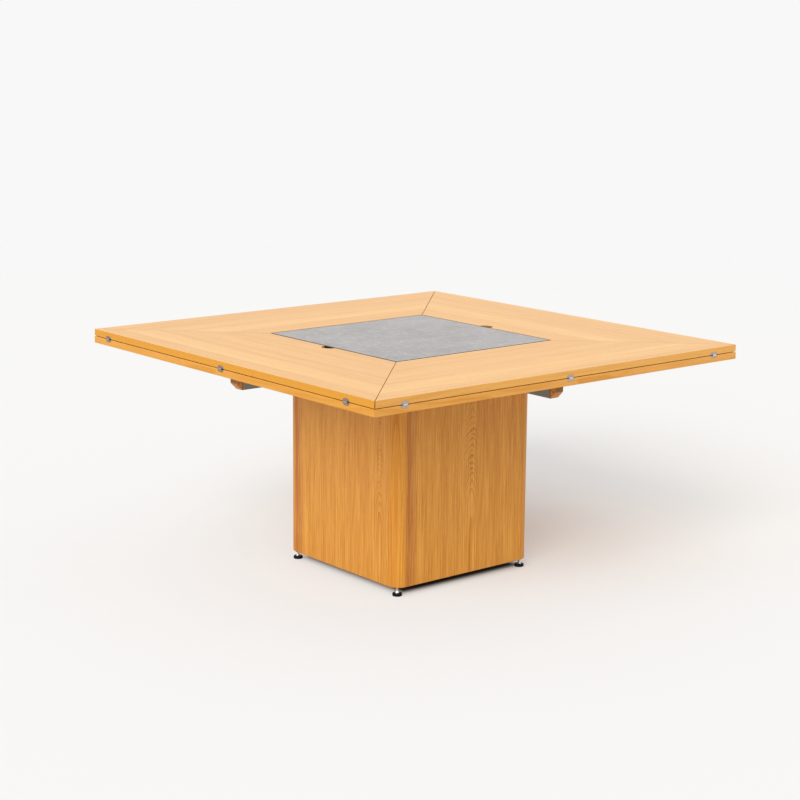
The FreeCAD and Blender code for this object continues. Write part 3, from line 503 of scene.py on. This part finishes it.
def timber_grain():
    """Solid timber. The board runs along Z of Vector, X is across it and Y is through it, in metres.

    Growth rings are shells at sqrt(x^2 + y^2) + taper * (d + sqrt(d^2 + rounding^2)) / 2 from the pith, in
    steps of the ring spacing, with d = z - heart: cones above the heart and cylinders below it. Past the
    figure's half width they steepen by flank * (|x| - half width), so that the sides run straight. One
    noise makes them wander and another sets the arches at uneven heights. Stretched noises give streaks,
    fibres, pores and ray flecks.
    """
    inputs = {"Vector": None, "Ring Spacing": 0.003, "Taper": 0.0, "Heart": -4.0, "Pith Across": 0.5,
              "Pith Through": 0.2, "Wander": 0.02, "Figure": 0.3, "Streaks": 0.5, "Fibres": 0.2,
              "Flecks": 0.0, "Half Width": 0.03, "Flank": 0.0}
    outputs = {"Shade": 0.0, "Pores": 0.0, "Height": 0.0}
    tree, w, given, out = new_group("timber_grain", inputs, outputs)
    board = given["Vector"]
    x, y, z = w.parts(board)
    waver = w.times(w.swing(board, WAVER), 0.12)
    wander = w.times(given["Wander"], w.plus(w.swing(board, DRIFT, 1.0), waver))
    across = w.minus(w.plus(x, wander), given["Pith Across"])
    through = w.minus(w.plus(y, w.times(wander, 0.4)), given["Pith Through"])
    outside = w.larger(w.minus(w.absolute(across), given["Half Width"]), 0.0)
    radius = w.plus(w.distance(across, through), w.times(outside, given["Flank"]))
    uneven = w.times_plus(w.swing(board, UNEVEN_ARCHES, 3.0, 0.6), 0.045, z)
    above = w.minus(uneven, given["Heart"])
    above = w.times(w.plus(above, w.distance(above, ARCH_ROUNDING)), 0.5)
    shell = w.over(w.plus(radius, w.times(above, given["Taper"])), given["Ring Spacing"])
    year = w.fraction(shell)
    late = w.times(w.ease(year, 0.35, 0.92), w.fade(year, 0.92, 1.0))
    tone = w.plus(0.45, w.times(w.chance(w.floor(shell)), 0.9))
    rings = w.minus(w.times(late, tone), 0.32)
    streaks = w.swing(board, GROWTH_STREAKS, 4.0, 0.6)
    fibres = w.swing(board, FIBRES, 4.0, 0.75)
    flecks = w.ease(w.noise(board, RAY_FLECKS), 0.62, 0.74)
    pores = w.ease(w.noise(board, PORES, 1.0), 0.6, 0.7)
    pores = w.times(pores, w.ease(year, 0.0, 0.55, 1.0, 0.35))
    dark = w.plus(w.times(rings, given["Figure"]), w.times(streaks, given["Streaks"]))
    dark = w.plus(dark, w.times(fibres, given["Fibres"]))
    dark = w.minus(dark, w.times(flecks, given["Flecks"]))
    w.plug(out["Shade"], w.plus(dark, 0.5, clamp=True))
    w.plug(out["Pores"], pores)
    w.plug(out["Height"], w.minus(w.times(fibres, 0.35), pores))
    return tree


def metal_marks():
    """Fine marks on metal. Brush is streaks across X of Vector, Rub is soft patches, both from 0 to 1."""
    inputs = {"Vector": None, "Fineness": BRUSHING}
    tree, w, given, out = new_group("metal_marks", inputs, {"Brush": 0.0, "Rub": 0.0})
    fineness = given["Fineness"]
    rates = w.whole(fineness, w.times(fineness, 0.02), w.times(fineness, 0.6))
    w.plug(out["Brush"], w.noise(given["Vector"], rates, 2.0, 0.6))
    w.plug(out["Rub"], w.ease(w.noise(given["Vector"], RUBBED_PATCHES, 4.0, 0.65), 0.3, 0.7))
    return tree


# ---- materials
def dress(material, *nodes):
    """Puts a material on every slot of the named CAD nodes."""
    for name in nodes:
        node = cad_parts[name]
        if not node.material_slots:
            node.data.materials.append(material)
        for place in node.material_slots:
            place.material = material


def toned(tint, factor):
    """A colour made darker or paler by a factor, with full alpha."""
    return [min(part * factor, 1.0) for part in tint[:3]] + [1.0]


def lacquered(wood, w, shader, grain, tint, dulled=1.0):
    """Satin lacquer over a timber colour: pores are darker, deeper and duller than the face."""
    rough = w.times_plus(grain["Pores"], 0.12, wood.lacquer * dulled)
    rough = w.times_plus(grain["Shade"], 0.05, rough)
    pored = w.stain(tint, grain["Pores"], wood.pore_stain, wood.pores)
    w.finish(shader, pored, rough, grain["Height"], wood.relief, 0.7)
    shader.inputs["IOR"].default_value = wood.lacquer_ior


def leaf_oak(wood):
    """Leaf veneer with the grain along the table's edge, mitred at the corners, on solid edges."""
    material, w, shader = new_material("leaf_oak")
    sides = w.group(grain_directions)
    outward, height, along = w.parts(sides["Round"])
    grain = w.group(timber_grain, vector=w.whole(outward, height, w.plus(along, sides["Shift"])),
                    ring_spacing=wood.ring_spacing, pith_across=1.6, pith_through=0.25,
                    wander=0.05, figure=0.2, streaks=0.9, fibres=1.3, flecks=0.06)
    reach = w.absolute(outward)
    near = w.below(outward, 0.0)
    band = w.plus(wood.far_band, w.times(near, wood.near_band - wood.far_band))
    pale = w.fade(w.absolute(w.minus(reach, band)), wood.band_core, wood.band_reach, 0.3)
    tint = w.blend(w.minus(grain["Shade"], pale, clamp=True), wood.leaf_light, wood.leaf_dark)
    edge_tint = w.blend(grain["Shade"], wood.edge_light, wood.edge_dark)
    # Painted warm light on the left edges.
    edge_tint = w.stain(edge_tint, w.below(sides["Shift"], -FLANK_SHIFT), 0.8, wood.deep_edge)
    notched = w.above(w.absolute(sides["Shift"]), FLANK_SHIFT)
    beside_slab = w.below(reach, SLAB_HALF + wood.notch_reach)
    in_notch = w.times(w.times(w.below(w.absolute(along), wood.notch_half), beside_slab), notched)
    # Painted shade on the finger notches' walls.
    edge_tint = w.stain(edge_tint, in_notch, 0.9, wood.notch_wall)
    # The paler top is partly painted light from above.
    on_face = w.ease(w.absolute(w.rise()), EDGE_RISE, FACE_RISE)
    lacquered(wood, w, shader, grain, w.blend(on_face, edge_tint, tint))
    return material


def board_oak(wood):
    """Sub top: an oak field with solid lipping round it, mitred at the corners."""
    material, w, shader = new_material("board_oak")
    x, y, z = w.parts(w.place())
    sides = w.group(grain_directions)
    field_half = TOP_HALF - wood.lipping
    edge = w.square_reach(x, y)
    in_field = w.below(edge, field_half)
    grain = w.group(timber_grain, vector=w.choose(in_field, sides["Round"], w.whole(y, z, x)),
                    ring_spacing=wood.ring_spacing, pith_across=1.1, pith_through=0.5,
                    wander=0.04, figure=0.4, streaks=1.0, fibres=1.0, flecks=0.05)
    joint = w.absolute(w.minus(edge, field_half))
    mitre = w.plus(w.absolute(w.minus(w.absolute(x), w.absolute(y))), in_field)
    seam = w.below(w.smaller(joint, mitre), wood.joint_line * 0.5)
    tint = w.blend(grain["Shade"], wood.board_light, wood.board_dark)
    tint = w.stain(tint, seam, 0.55, wood.pores)
    # Painted warm light on the sub top's left side.
    tint = w.stain(tint, w.below(sides["Shift"], -FLANK_SHIFT), 0.35, wood.deep_edge)
    lacquered(wood, w, shader, grain, tint)
    return material


def panel_oak(wood, side, quarter, across, behind, heart, taper, flank, figure, flecks):
    """One pedestal panel: upright grain, a reddish strip at its left end and glue lines at both ends.

    The board's pith lies behind the face. Its arches stand above the heart, and flank straightens its sides.
    """
    material, w, shader = new_material("panel_oak_" + side)
    vector = w.turned(w.place(), -quarter * math.pi / 2.0)
    low, high = node_boxes["panel_front"]
    grain = w.group(timber_grain, vector=vector, ring_spacing=wood.panel_ring_spacing, taper=taper,
                    heart=heart, pith_across=across, pith_through=low[1] + behind, wander=0.03,
                    figure=figure, streaks=0.6, fibres=1.75, flecks=flecks, flank=flank)
    x, _, _ = w.parts(vector)
    from_left = w.minus(x, low[0])
    stripe = w.fade(from_left, wood.stripe_width * 0.9, wood.stripe_width)
    bolder = w.times(w.minus(grain["Shade"], 0.5), w.times(stripe, 1.4))
    tint = w.blend(w.plus(grain["Shade"], bolder, clamp=True), wood.panel_light, wood.panel_dark)
    tint = w.stain(tint, stripe, 0.42, wood.stripe_dark)
    from_streak = w.absolute(w.minus(from_left, wood.streak_place))
    streak = w.fade(from_streak, wood.streak_core, wood.streak_reach)
    tint = w.stain(tint, streak, 0.5, wood.stripe_dark)
    seam = w.below(w.minus(high[0], w.absolute(x)), wood.joint_line)
    lacquered(wood, w, shader, grain, w.stain(tint, seam, 0.5, wood.pores))
    return material


def post_oak(wood):
    """Corner posts in solid oak, a little yellower than the panels."""
    material, w, shader = new_material("post_oak")
    grain = w.group(timber_grain, vector=w.place(), ring_spacing=wood.ring_spacing, pith_across=0.7,
                    pith_through=0.5, wander=0.02, figure=0.2, streaks=1.1, fibres=1.1, flecks=0.05)
    lacquered(wood, w, shader, grain, w.blend(grain["Shade"], wood.post_light, wood.post_dark))
    return material


def nose_oak(wood):
    """Loper noses in solid oak, with the end grain to the outside, a knot and painted shade beside the tube.
    """
    material, w, shader = new_material("nose_oak")
    sides = w.group(grain_directions)
    grain = w.group(timber_grain, vector=sides["Outward"], ring_spacing=wood.panel_ring_spacing,
                    pith_across=0.004, pith_through=0.648, wander=0.012, figure=0.6, streaks=0.4,
                    fibres=0.5)
    tint = w.blend(grain["Shade"], wood.nose_light, wood.nose_dark)
    end, _, top = node_boxes["loper_nose_right"][1]
    _, height, along = w.parts(sides["Outward"])
    outward = w.absolute(along)
    from_knot = w.distance(w.minus(outward, end - wood.knot_setback),
                           w.minus(height, top - wood.knot_drop))
    tint = w.stain(tint, w.fade(from_knot, wood.knot_core, wood.knot_reach), 0.75, wood.nose_knot)
    end_grain = w.above(outward, end - wood.end_skin)
    past_tube = w.minus(outward, node_boxes["loper_tube_right"][1][0])
    # Darker end grain on the end, and painted shade in a band beside the tube.
    end_grain_and_painted_shade = w.larger(w.times(end_grain, 0.6), w.fade(past_tube, wood.dirt_core, wood.dirt_reach, 0.8))
    lacquered(wood, w, shader, grain, w.blend(end_grain_and_painted_shade, tint, wood.nose_stain), 1.2)
    return material


def beech(wood):
    """Rails and battens in planed beech with its short dark flecks."""
    material, w, shader = new_material("planed_beech")
    board = w.group(grain_directions)["Outward"]
    grain = w.group(timber_grain, vector=board, ring_spacing=0.005, pith_across=0.3, pith_through=0.2,
                    wander=0.03, figure=0.35, streaks=0.5, fibres=0.3)
    fleck = w.ease(w.noise(board, BEECH_FLECKS, 1.0), 0.6, 0.72)
    tint = w.blend(grain["Shade"], wood.hardwood_light, wood.hardwood_dark)
    tint = w.stain(tint, fleck, 0.4, wood.hardwood_dark)
    rough = w.times_plus(grain["Shade"], 0.12, 0.5)
    w.finish(shader, tint, rough, grain["Height"], wood.relief, 0.4)
    return material


def birch_ply(wood):
    """Plywood: plies with glue lines on the edge, every second one end grain, and a plain face veneer."""
    material, w, shader = new_material("birch_plywood")
    x, y, z = w.parts(w.place())
    grain = w.group(timber_grain, vector=w.whole(y, z, x), ring_spacing=0.012, taper=0.05, heart=0.1,
                    pith_across=0.05, pith_through=0.2, wander=0.08, figure=0.5, streaks=0.4, fibres=0.3)
    from_glue = w.absolute(w.minus(w.fraction(w.over(z, wood.ply)), 0.5))
    glue = w.below(from_glue, 0.09)
    end_ply = w.above(w.fraction(w.over(z, wood.ply * 2.0)), 0.5)
    on_edge = w.below(w.absolute(w.rise()), 0.7)
    tint = w.stain(wood.ply_light, grain["Shade"], 0.35, wood.ply_dark)
    lines = w.times(on_edge, w.larger(glue, w.times(end_ply, 0.45)))
    tint = w.stain(tint, lines, 0.7, wood.ply_dark)
    rough = w.times_plus(grain["Shade"], 0.1, 0.55)
    w.finish(shader, tint, rough, grain["Height"], wood.relief, 0.4)
    return material


def slate(slab):
    """Honed slate: soft clouds, fine grain, paler flecks and veins, and dark edges, partly raw stone, partly
    painted gap shade.
    """
    material, w, shader = new_material("honed_slate")
    spot = w.place()
    clouds = w.ease(w.noise(spot, SLATE_CLOUDS, 5.0, 0.6, 0.4), 0.3, 0.7)
    grit = w.noise(spot, 1.0 / slab.grain, 3.0, 0.7)
    fleck = w.fade(w.cells(spot, 1.0 / slab.fleck_spacing), 0.0, 0.5)
    fleck = w.times(fleck, w.ease(grit, 0.42, 0.62))
    veins = w.ease(w.noise(spot, SLATE_VEINS, 4.0, 0.75), 0.5, 0.64)
    tint = w.blend(clouds, slab.slate_dark, slab.slate)
    tint = w.stain(tint, w.ease(grit, 0.35, 0.7), 0.5, slab.slate_dark)
    tint = w.stain(tint, w.larger(fleck, w.times(veins, 0.7)), 0.5, slab.fleck)
    x, y, _ = w.parts(spot)
    # Painted shade: the top face's rim and the cut edges are darkened for the gap round the slab, the edges
    # partly as raw stone.
    painted_gap_shade = w.above(w.square_reach(x, y), SLAB_HALF - slab.arris)
    tint = w.blend(w.larger(painted_gap_shade, w.below(w.rise(), FACE_RISE)), tint, slab.sawn)
    rough = w.times_plus(grit, 0.16, slab.honed - 0.08)
    w.finish(shader, tint, rough, w.plus(grit, clouds), slab.stone_relief, 0.6)
    return material


def felt(slab):
    """Pressed felt with matted fibres."""
    material, w, shader = new_material("pressed_felt")
    fibres = w.noise(w.place(), FELT_FIBRES, 4.0, 0.7, 1.5)
    tint = w.blend(w.ease(fibres, 0.35, 0.65), FELT_DEPTHS, slab.felt)
    w.finish(shader, tint, w.ease(fibres, 0.2, 0.8, 0.98, 0.86), fibres, slab.felt_relief)
    shader.inputs["Sheen Weight"].default_value = 0.3
    return material


def steel(name, tint, dull, brushing=0.16, fineness=BRUSHING, depth=BRUSHED_DEPTH):
    """Bare or plated metal with brushing and soft rubbed patches."""
    material, w, shader = new_material(name)
    marks = w.group(metal_marks, vector=w.place(), fineness=fineness)
    shaded = w.stain(tint, marks["Rub"], 0.18, toned(tint, 0.62))
    shaded = w.stain(shaded, marks["Brush"], 0.14, toned(tint, 0.55))
    rough = w.times_plus(marks["Brush"], brushing, dull - brushing * 0.5)
    rough = w.times_plus(marks["Rub"], 0.08, rough, clamp=True)
    w.finish(shader, shaded, rough, marks["Brush"], depth, 0.5)
    shader.inputs["Metallic"].default_value = 1.0
    return material


def hinge_steel(metal):
    """Satin plates with painted shade on the left edge and painted highlights on the knuckles past the edge.
    """
    material, w, shader = new_material("hinge_plate_steel")
    spot = w.place()
    marks = w.group(metal_marks, vector=spot, fineness=BRUSHING)
    x, y, _ = w.parts(spot)
    # Painted highlight on the knuckles past the edge; they are also less rough there.
    proud = w.ease(w.square_reach(x, y), TOP_HALF + metal.rubbed_from, TOP_HALF + metal.rubbed_to)
    on_left = w.below(x, -TOP_HALF + metal.left_plates)
    tint = w.blend(proud, metal.hinge, metal.knuckle)
    # Painted shade on the left edge's hinges.
    tint = w.stain(tint, on_left, 0.5, metal.tarnish)
    shade = w.plus(w.times(marks["Rub"], 0.16), w.times(marks["Brush"], 0.14))
    tint = w.blend(shade, tint, RUBBED_DARK)
    rough = w.times_plus(marks["Brush"], 0.16, metal.satin - 0.08)
    rough = w.times_plus(proud, -0.14, rough, clamp=True)
    w.finish(shader, tint, rough, marks["Brush"], BRUSHED_DEPTH, 0.5)
    shader.inputs["Metallic"].default_value = 1.0
    return material


def tube_paint(metal):
    """Grey paint on the square tubes: slight orange peel and a few rubbed streaks from sliding."""
    material, w, shader = new_material("tube_paint")
    board = w.group(grain_directions)["Outward"]
    marks = w.group(metal_marks, vector=board, fineness=COARSE_BRUSHING)
    peel = w.noise(w.place(), PAINT_PEEL)
    worn = w.times(marks["Rub"], w.ease(marks["Brush"], 0.5, 0.7))
    tint = w.stain(metal.tube, worn, 0.4, toned(metal.tube, 1.7))
    w.finish(shader, tint, w.times_plus(worn, -0.1, 0.42), w.plus(peel, worn), PEEL_DEPTH, 0.6)
    w.plug(shader.inputs["Metallic"], w.times_plus(worn, 0.3, 0.35))
    return material


def moulded(name, tint, dull, shine=0.5):
    """Moulded plastic with the fine eroded texture of its mould."""
    material, w, shader = new_material(name)
    spot = w.place()
    skin = w.noise(spot, MOULD_SKIN, 2.0, 0.6)
    haze = w.ease(w.noise(spot, MOULD_HAZE, 4.0, 0.6), 0.3, 0.7)
    hazed = w.stain(tint, haze, 0.4, toned(tint, 1.5))
    w.finish(shader, hazed, w.times_plus(skin, 0.12, dull), skin, MOULD_DEPTH, 0.6)
    shader.inputs["Specular IOR Level"].default_value = shine
    return material


# ---- threaded foot screw
def put(name, data):
    """A new object with this data, at the origin."""
    thing = bpy.data.objects.new(name, data)
    bpy.context.scene.collection.objects.link(thing)
    return thing


def turned_surface(name, angles, heights, radii, centre):
    """A closed solid of revolution on a grid of angle by height.

    Point (i, j) is centre + (r cos a, r sin a, h) with the angle a of column j and the height h and radius r
    of row i, where r may change round the row. One point in the middle closes each end.
    """
    rows, columns = radii.shape
    x = centre[0] + radii * np.cos(angles)[None, :]
    y = centre[1] + radii * np.sin(angles)[None, :]
    z = np.broadcast_to(heights[:, None], radii.shape)
    grid = np.stack([x, y, z], axis=-1).reshape(-1, 3)
    poles = np.array([[centre[0], centre[1], heights[0]], [centre[0], centre[1], heights[-1]]])
    index = np.arange(rows * columns).reshape(rows, columns)
    beside = np.roll(index, -1, axis=1)
    walls = np.stack([index[:-1], beside[:-1], beside[1:], index[1:]], axis=-1).reshape(-1, 4)
    under = np.stack([beside[0], index[0], np.full(columns, rows * columns)], axis=-1)
    over = np.stack([index[-1], beside[-1], np.full(columns, rows * columns + 1)], axis=-1)
    mesh = bpy.data.meshes.new(name)
    mesh.from_pydata(np.vstack([grid, poles]).tolist(), [], walls.tolist() + under.tolist() + over.tolist())
    mesh.shade_smooth()
    mesh.set_sharp_from_angle(angle=math.radians(SHARP_FROM))
    return put(name, mesh)


def threaded_stem(foot, name, centre, low, high):
    """Foot screw from its peg up to its end.

    The profile is a peg, a cone and a stem. The stem's radius is R - d * c, where c is
    slope * |2 frac(h / pitch - a / 2 pi) - 1| - flat held between 0 and 1: a V thread with flats that winds
    round once in each pitch. The depth d fades to nothing at both ends of the thread.
    """
    angles = np.linspace(0.0, 2.0 * math.pi, STEM_COLUMNS, endpoint=False)
    seat = low + foot.pivot_length
    neck = seat + foot.cone_height
    shoulder = high - foot.stem_chamfer
    count = int(round((shoulder - neck) / foot.pitch * ROWS_PER_TURN))
    thread_heights = np.linspace(neck + THREAD_START, shoulder, count)
    plain_heights = np.array([low, low + foot.pivot_chamfer, seat, seat, seat + foot.cone_lip, neck])
    plain_radii = np.array([foot.pivot_radius - foot.pivot_chamfer, foot.pivot_radius, foot.pivot_radius,
                            foot.cone_radius - foot.cone_lip, foot.cone_radius, foot.stem_radius])
    turns = thread_heights[:, None] / foot.pitch - angles[None, :] / (2.0 * math.pi)
    ramp = np.abs(2.0 * (turns - np.floor(turns)) - 1.0)
    groove = np.clip(ramp * GROOVE_SLOPE - GROOVE_FLAT, 0.0, 1.0)
    from_ends = np.minimum(thread_heights - neck, shoulder - thread_heights)[:, None]
    thread_radii = foot.stem_radius - foot.thread_depth * groove * np.clip(from_ends / foot.pitch, 0.0, 1.0)
    heights = np.concatenate([plain_heights, thread_heights, [high]])
    plain = np.repeat(plain_radii[:, None], STEM_COLUMNS, axis=1)
    tip = np.full((1, STEM_COLUMNS), foot.stem_radius - foot.stem_chamfer)
    return turned_surface(name, angles, heights, np.vstack([plain, thread_radii, tip]), centre)


# ---- operators
class TABLE_OT_top(bpy.types.Operator):
    """Give the four leaves and the sub top their oak"""

    bl_idname = "table.top"
    bl_label = "Leaves and sub top"

    def execute(self, context):
        wood = context.scene.table_timber
        dress(leaf_oak(wood), *("leaf_" + side for side in SIDES))
        dress(board_oak(wood), "sub_top")
        return {"FINISHED"}


class TABLE_OT_slab(bpy.types.Operator):
    """Give the slab its honed slate and the dots under it their felt"""

    bl_idname = "table.slab"
    bl_label = "Slab and felt"

    def execute(self, context):
        slab = context.scene.table_slab
        dress(slate(slab), "stone_slab")
        dress(felt(slab), "felt_dots")
        return {"FINISHED"}


class TABLE_OT_hinges(bpy.types.Operator):
    """Give the leaf hinges, their pins and all screws and balls their steel"""

    bl_idname = "table.hinges"
    bl_label = "Hinges and screws"

    def execute(self, context):
        metal = context.scene.table_metal
        screw = steel("screw_steel", metal.bright, 0.26, 0.1)
        dress(hinge_steel(metal), "lower_hinge_plates", *("upper_hinge_plates_" + side for side in SIDES))
        dress(screw, "lower_hinge_screws", *("upper_hinge_screws_" + side for side in SIDES))
        dress(screw, "rail_screws", "board_screws", "batten_screws", "turntable_lower_screws",
              "turntable_upper_screws")
        dress(steel("pin_steel", metal.bright, 0.2, 0.06), "hinge_pins", "bearing_balls")
        return {"FINISHED"}


class TABLE_OT_lopers(bpy.types.Operator):
    """Give the pull-out lopers, their noses, their rails and the battens their finishes"""

    bl_idname = "table.lopers"
    bl_label = "Lopers"

    def execute(self, context):
        wood = context.scene.table_timber
        dress(tube_paint(context.scene.table_metal), *("loper_tube_" + side for side in SIDES))
        dress(nose_oak(wood), *("loper_nose_" + side for side in SIDES))
        dress(beech(wood), "loper_rails", "battens")
        return {"FINISHED"}


class TABLE_OT_turntable(bpy.types.Operator):
    """Give the turntable, the keepers and the plywood boards their finishes"""

    bl_idname = "table.turntable"
    bl_label = "Turntable"

    def execute(self, context):
        plated = steel("zinc_plate", context.scene.table_metal.zinc, 0.38, 0.1, PLATING)
        dress(plated, "turntable_lower_plate", "turntable_upper_plate", "loper_keepers")
        plywood = birch_ply(context.scene.table_timber)
        dress(plywood, "swivel_board", "pedestal_top_board", "pedestal_bottom_board")
        dress(moulded("cage_nylon", context.scene.table_foot.nylon, 0.4), "ball_cage")
        return {"FINISHED"}


class TABLE_OT_pedestal(bpy.types.Operator):
    """Give the pedestal's panels and corner posts their oak, each panel with its own board"""

    bl_idname = "table.pedestal"
    bl_label = "Pedestal"

    def execute(self, context):
        wood = context.scene.table_timber
        for quarter, side in enumerate(SIDES):
            dress(panel_oak(wood, side, quarter, **PANEL_BOARDS[side]), "panel_" + side)
        dress(post_oak(wood), *("post_" + corner for corner in CORNERS))
        return {"FINISHED"}


class TABLE_OT_feet(bpy.types.Operator):
    """Build the threaded foot screws and give the feet their finishes"""

    bl_idname = "table.feet"
    bl_label = "Feet"

    def execute(self, context):
        metal = context.scene.table_metal
        foot = context.scene.table_foot
        plated = steel("foot_chrome", metal.chrome, metal.polished, 0.05, depth=POLISHED_DEPTH)
        for corner in CORNERS:
            low, high = node_boxes["foot_stem_" + corner]
            centre = [(low[0] + high[0]) / 2.0, (low[1] + high[1]) / 2.0]
            stem = threaded_stem(foot, "foot_screw_" + corner, centre, low[2], high[2])
            stem.data.materials.append(plated)
            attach(stem, "foot_stem_" + corner)
            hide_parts("foot_stem_" + corner)
        rubbery = moulded("foot_plastic", foot.pad, 0.5, 0.14)
        dress(rubbery, *("foot_pad_" + corner for corner in CORNERS))
        dress(steel("insert_brass", metal.brass, 0.3, 0.1), "foot_inserts")
        return {"FINISHED"}


class TABLE_OT_stage(bpy.types.Operator):
    """Set up the pale floor, the soft light and the camera"""

    bl_idname = "table.stage"
    bl_label = "Stage"

    def execute(self, context):
        self.lay_floor(context)
        self.light(context)
        self.aim_camera(context)
        context.scene.view_settings.view_transform = "Standard"
        return {"FINISHED"}

    def lay_floor(self, context):
        """A disc of rings: point (i, j) is radius i at angle j."""
        angles = np.linspace(0.0, 2.0 * math.pi, FLOOR_SPOKES, endpoint=False)
        radii = np.linspace(0.05, 1.0, FLOOR_RINGS)[:, None] * context.scene.table_stage.floor_radius
        x, y = radii * np.cos(angles)[None, :], radii * np.sin(angles)[None, :]
        points = np.stack([x, y, np.zeros_like(x)], axis=-1).reshape(-1, 3)
        index = np.arange(len(points)).reshape(FLOOR_RINGS, FLOOR_SPOKES)
        beside = np.roll(index, -1, axis=1)
        faces = np.stack([index[:-1], index[1:], beside[1:], beside[:-1]], axis=-1).reshape(-1, 4)
        mesh = bpy.data.meshes.new("floor")
        mesh.from_pydata(points.tolist(), [], faces.tolist() + [index[0].tolist()])
        mesh.materials.append(self.floor_material(context))
        floor = put("floor", mesh)

    def floor_material(self, context):
        """A pale floor that fades out towards its rim.

        It carries a painted shadow under the pedestal. Elsewhere it is lifted to the backdrop where it is
        looked at, but keeps its own tone in the lamp's shadow.
        """
        s = context.scene.table_stage
        material, w, shader = new_material("pale_floor")
        x, y, _ = w.parts(w.place())
        sheltered = w.square_reach(w.minus(x, s.shelter_shift), y)
        tint = w.stain(s.floor, w.noise(w.place(), FLOOR_CLOUDS), 0.1, s.backdrop)
        # Painted shadow under the pedestal.
        under = w.fade(sheltered, s.shelter, s.shelter + s.shelter_fade, 0.95)
        tint = w.blend(under, tint, PAINTED_PEDESTAL_SHADOW)
        w.plug_named(shader, {"Base Color": tint, "Roughness": 0.9, "Specular IOR Level": 0.1})
        lifted = w.plug_named(w.add("ShaderNodeEmission"), {"Color": s.backdrop})[0]
        shade = w.distance(w.minus(x, s.shade_place[0]), w.minus(y, s.shade_place[1]))
        in_open = w.ease(sheltered, s.shelter, s.shelter + 2.0 * s.shelter_fade)
        clear = w.times(w.ease(shade, s.shade_core, s.shade_reach), in_open)
        looked_at = w.add("ShaderNodeLightPath").outputs["Is Camera Ray"]
        lit = w.between(w.times(looked_at, w.times(clear, s.veil)), shader.outputs[0], lifted)
        rim = w.ease(w.distance(x, y), s.floor_radius * 0.35, s.floor_radius * 0.98)
        faded = w.between(rim, lit, w.add("ShaderNodeBsdfTransparent").outputs[0])
        w.plug(material.node_tree.nodes["Material Output"].inputs["Surface"], faded)
        return material

    def light(self, context):
        """Even light from all round, a pale background where it is looked at, and one soft lamp."""
        s = context.scene.table_stage
        world = bpy.data.worlds.new("soft_room")
        world.use_nodes = True
        context.scene.world = world
        w = Wiring(world.node_tree)
        background = world.node_tree.nodes["Background"]
        rays = w.add("ShaderNodeLightPath").outputs
        mirrored = w.larger(rays["Is Glossy Ray"], rays["Is Transmission Ray"])
        seen = w.larger(rays["Is Camera Ray"], mirrored)
        w.plug(background.inputs["Color"], w.blend(seen, (1.0, 1.0, 1.0, 1.0), s.backdrop))
        rise = w.larger(w.parts(w.add("ShaderNodeTexCoord").outputs["Generated"])[2], 0.0)
        unseen = w.times(w.times_plus(rise, s.overhead, s.sky), w.minus(1.0, seen))
        w.plug(background.inputs["Strength"], w.plus(unseen, seen))
        lamp = bpy.data.lights.new("soft_key", "SUN")
        lamp.energy = s.key
        lamp.color = s.key_colour[:3]
        lamp.angle = s.key_spread
        put("soft_key", lamp).rotation_euler = (math.pi / 2.0 - s.key_height, 0.0, s.key_azimuth)

    def aim_camera(self, context):
        """The camera's axes from its azimuth, height and roll."""
        s = context.scene.table_stage
        az, el, roll = s.camera_azimuth, s.camera_height, s.camera_roll
        back = np.array([math.sin(az) * math.cos(el), -math.cos(az) * math.cos(el), math.sin(el)])
        right = np.cross(-back, (0.0, 0.0, 1.0))
        right /= np.linalg.norm(right)
        above = np.cross(back, right)
        level_x = math.cos(roll) * right + math.sin(roll) * above
        level_y = math.cos(roll) * above - math.sin(roll) * right
        axes = Matrix.Identity(4)
        for column, axis in enumerate((level_x, level_y, back, s.camera_place)):
            for row in range(3):
                axes[row][column] = float(axis[row])
        lens = bpy.data.cameras.new("view")
        lens.sensor_width = s.camera_sensor
        lens.lens = s.camera_lens
        lens.clip_end = 60.0
        camera = put("view", lens)
        camera.matrix_world = axes
        context.scene.camera = camera


OPERATORS = (TABLE_OT_top, TABLE_OT_slab, TABLE_OT_hinges, TABLE_OT_lopers, TABLE_OT_turntable,
             TABLE_OT_pedestal, TABLE_OT_feet, TABLE_OT_stage)
SETTINGS = {"table_timber": TimberSettings, "table_slab": SlabSettings, "table_metal": MetalSettings,
            "table_foot": FootSettings, "table_stage": StageSettings}


class TABLE_PT_sidebar(bpy.types.Panel):
    """Lists the table's pieces"""

    bl_idname = "TABLE_PT_sidebar"
    bl_label = "Swivel extending table"
    bl_space_type = "VIEW_3D"
    bl_region_type = "UI"
    bl_category = "Table"

    def draw(self, context):
        for operator in OPERATORS:
            self.layout.operator(operator.bl_idname)


def register():
    """Adds the settings, the operators and the panel."""
    for name, settings in SETTINGS.items():
        bpy.utils.register_class(settings)
        setattr(bpy.types.Scene, name, PointerProperty(type=settings))
    for operator in OPERATORS:
        bpy.utils.register_class(operator)
    bpy.utils.register_class(TABLE_PT_sidebar)


def unregister():
    """Takes them away again."""
    bpy.utils.unregister_class(TABLE_PT_sidebar)
    for operator in reversed(OPERATORS):
        bpy.utils.unregister_class(operator)
    for name, settings in SETTINGS.items():
        delattr(bpy.types.Scene, name)
        bpy.utils.unregister_class(settings)


def main():
    """Dresses the table piece by piece."""
    register()
    for operator in OPERATORS:
        family, action = operator.bl_idname.split(".")
        getattr(getattr(bpy.ops, family), action)()


if __name__ == "__main__":
    main()
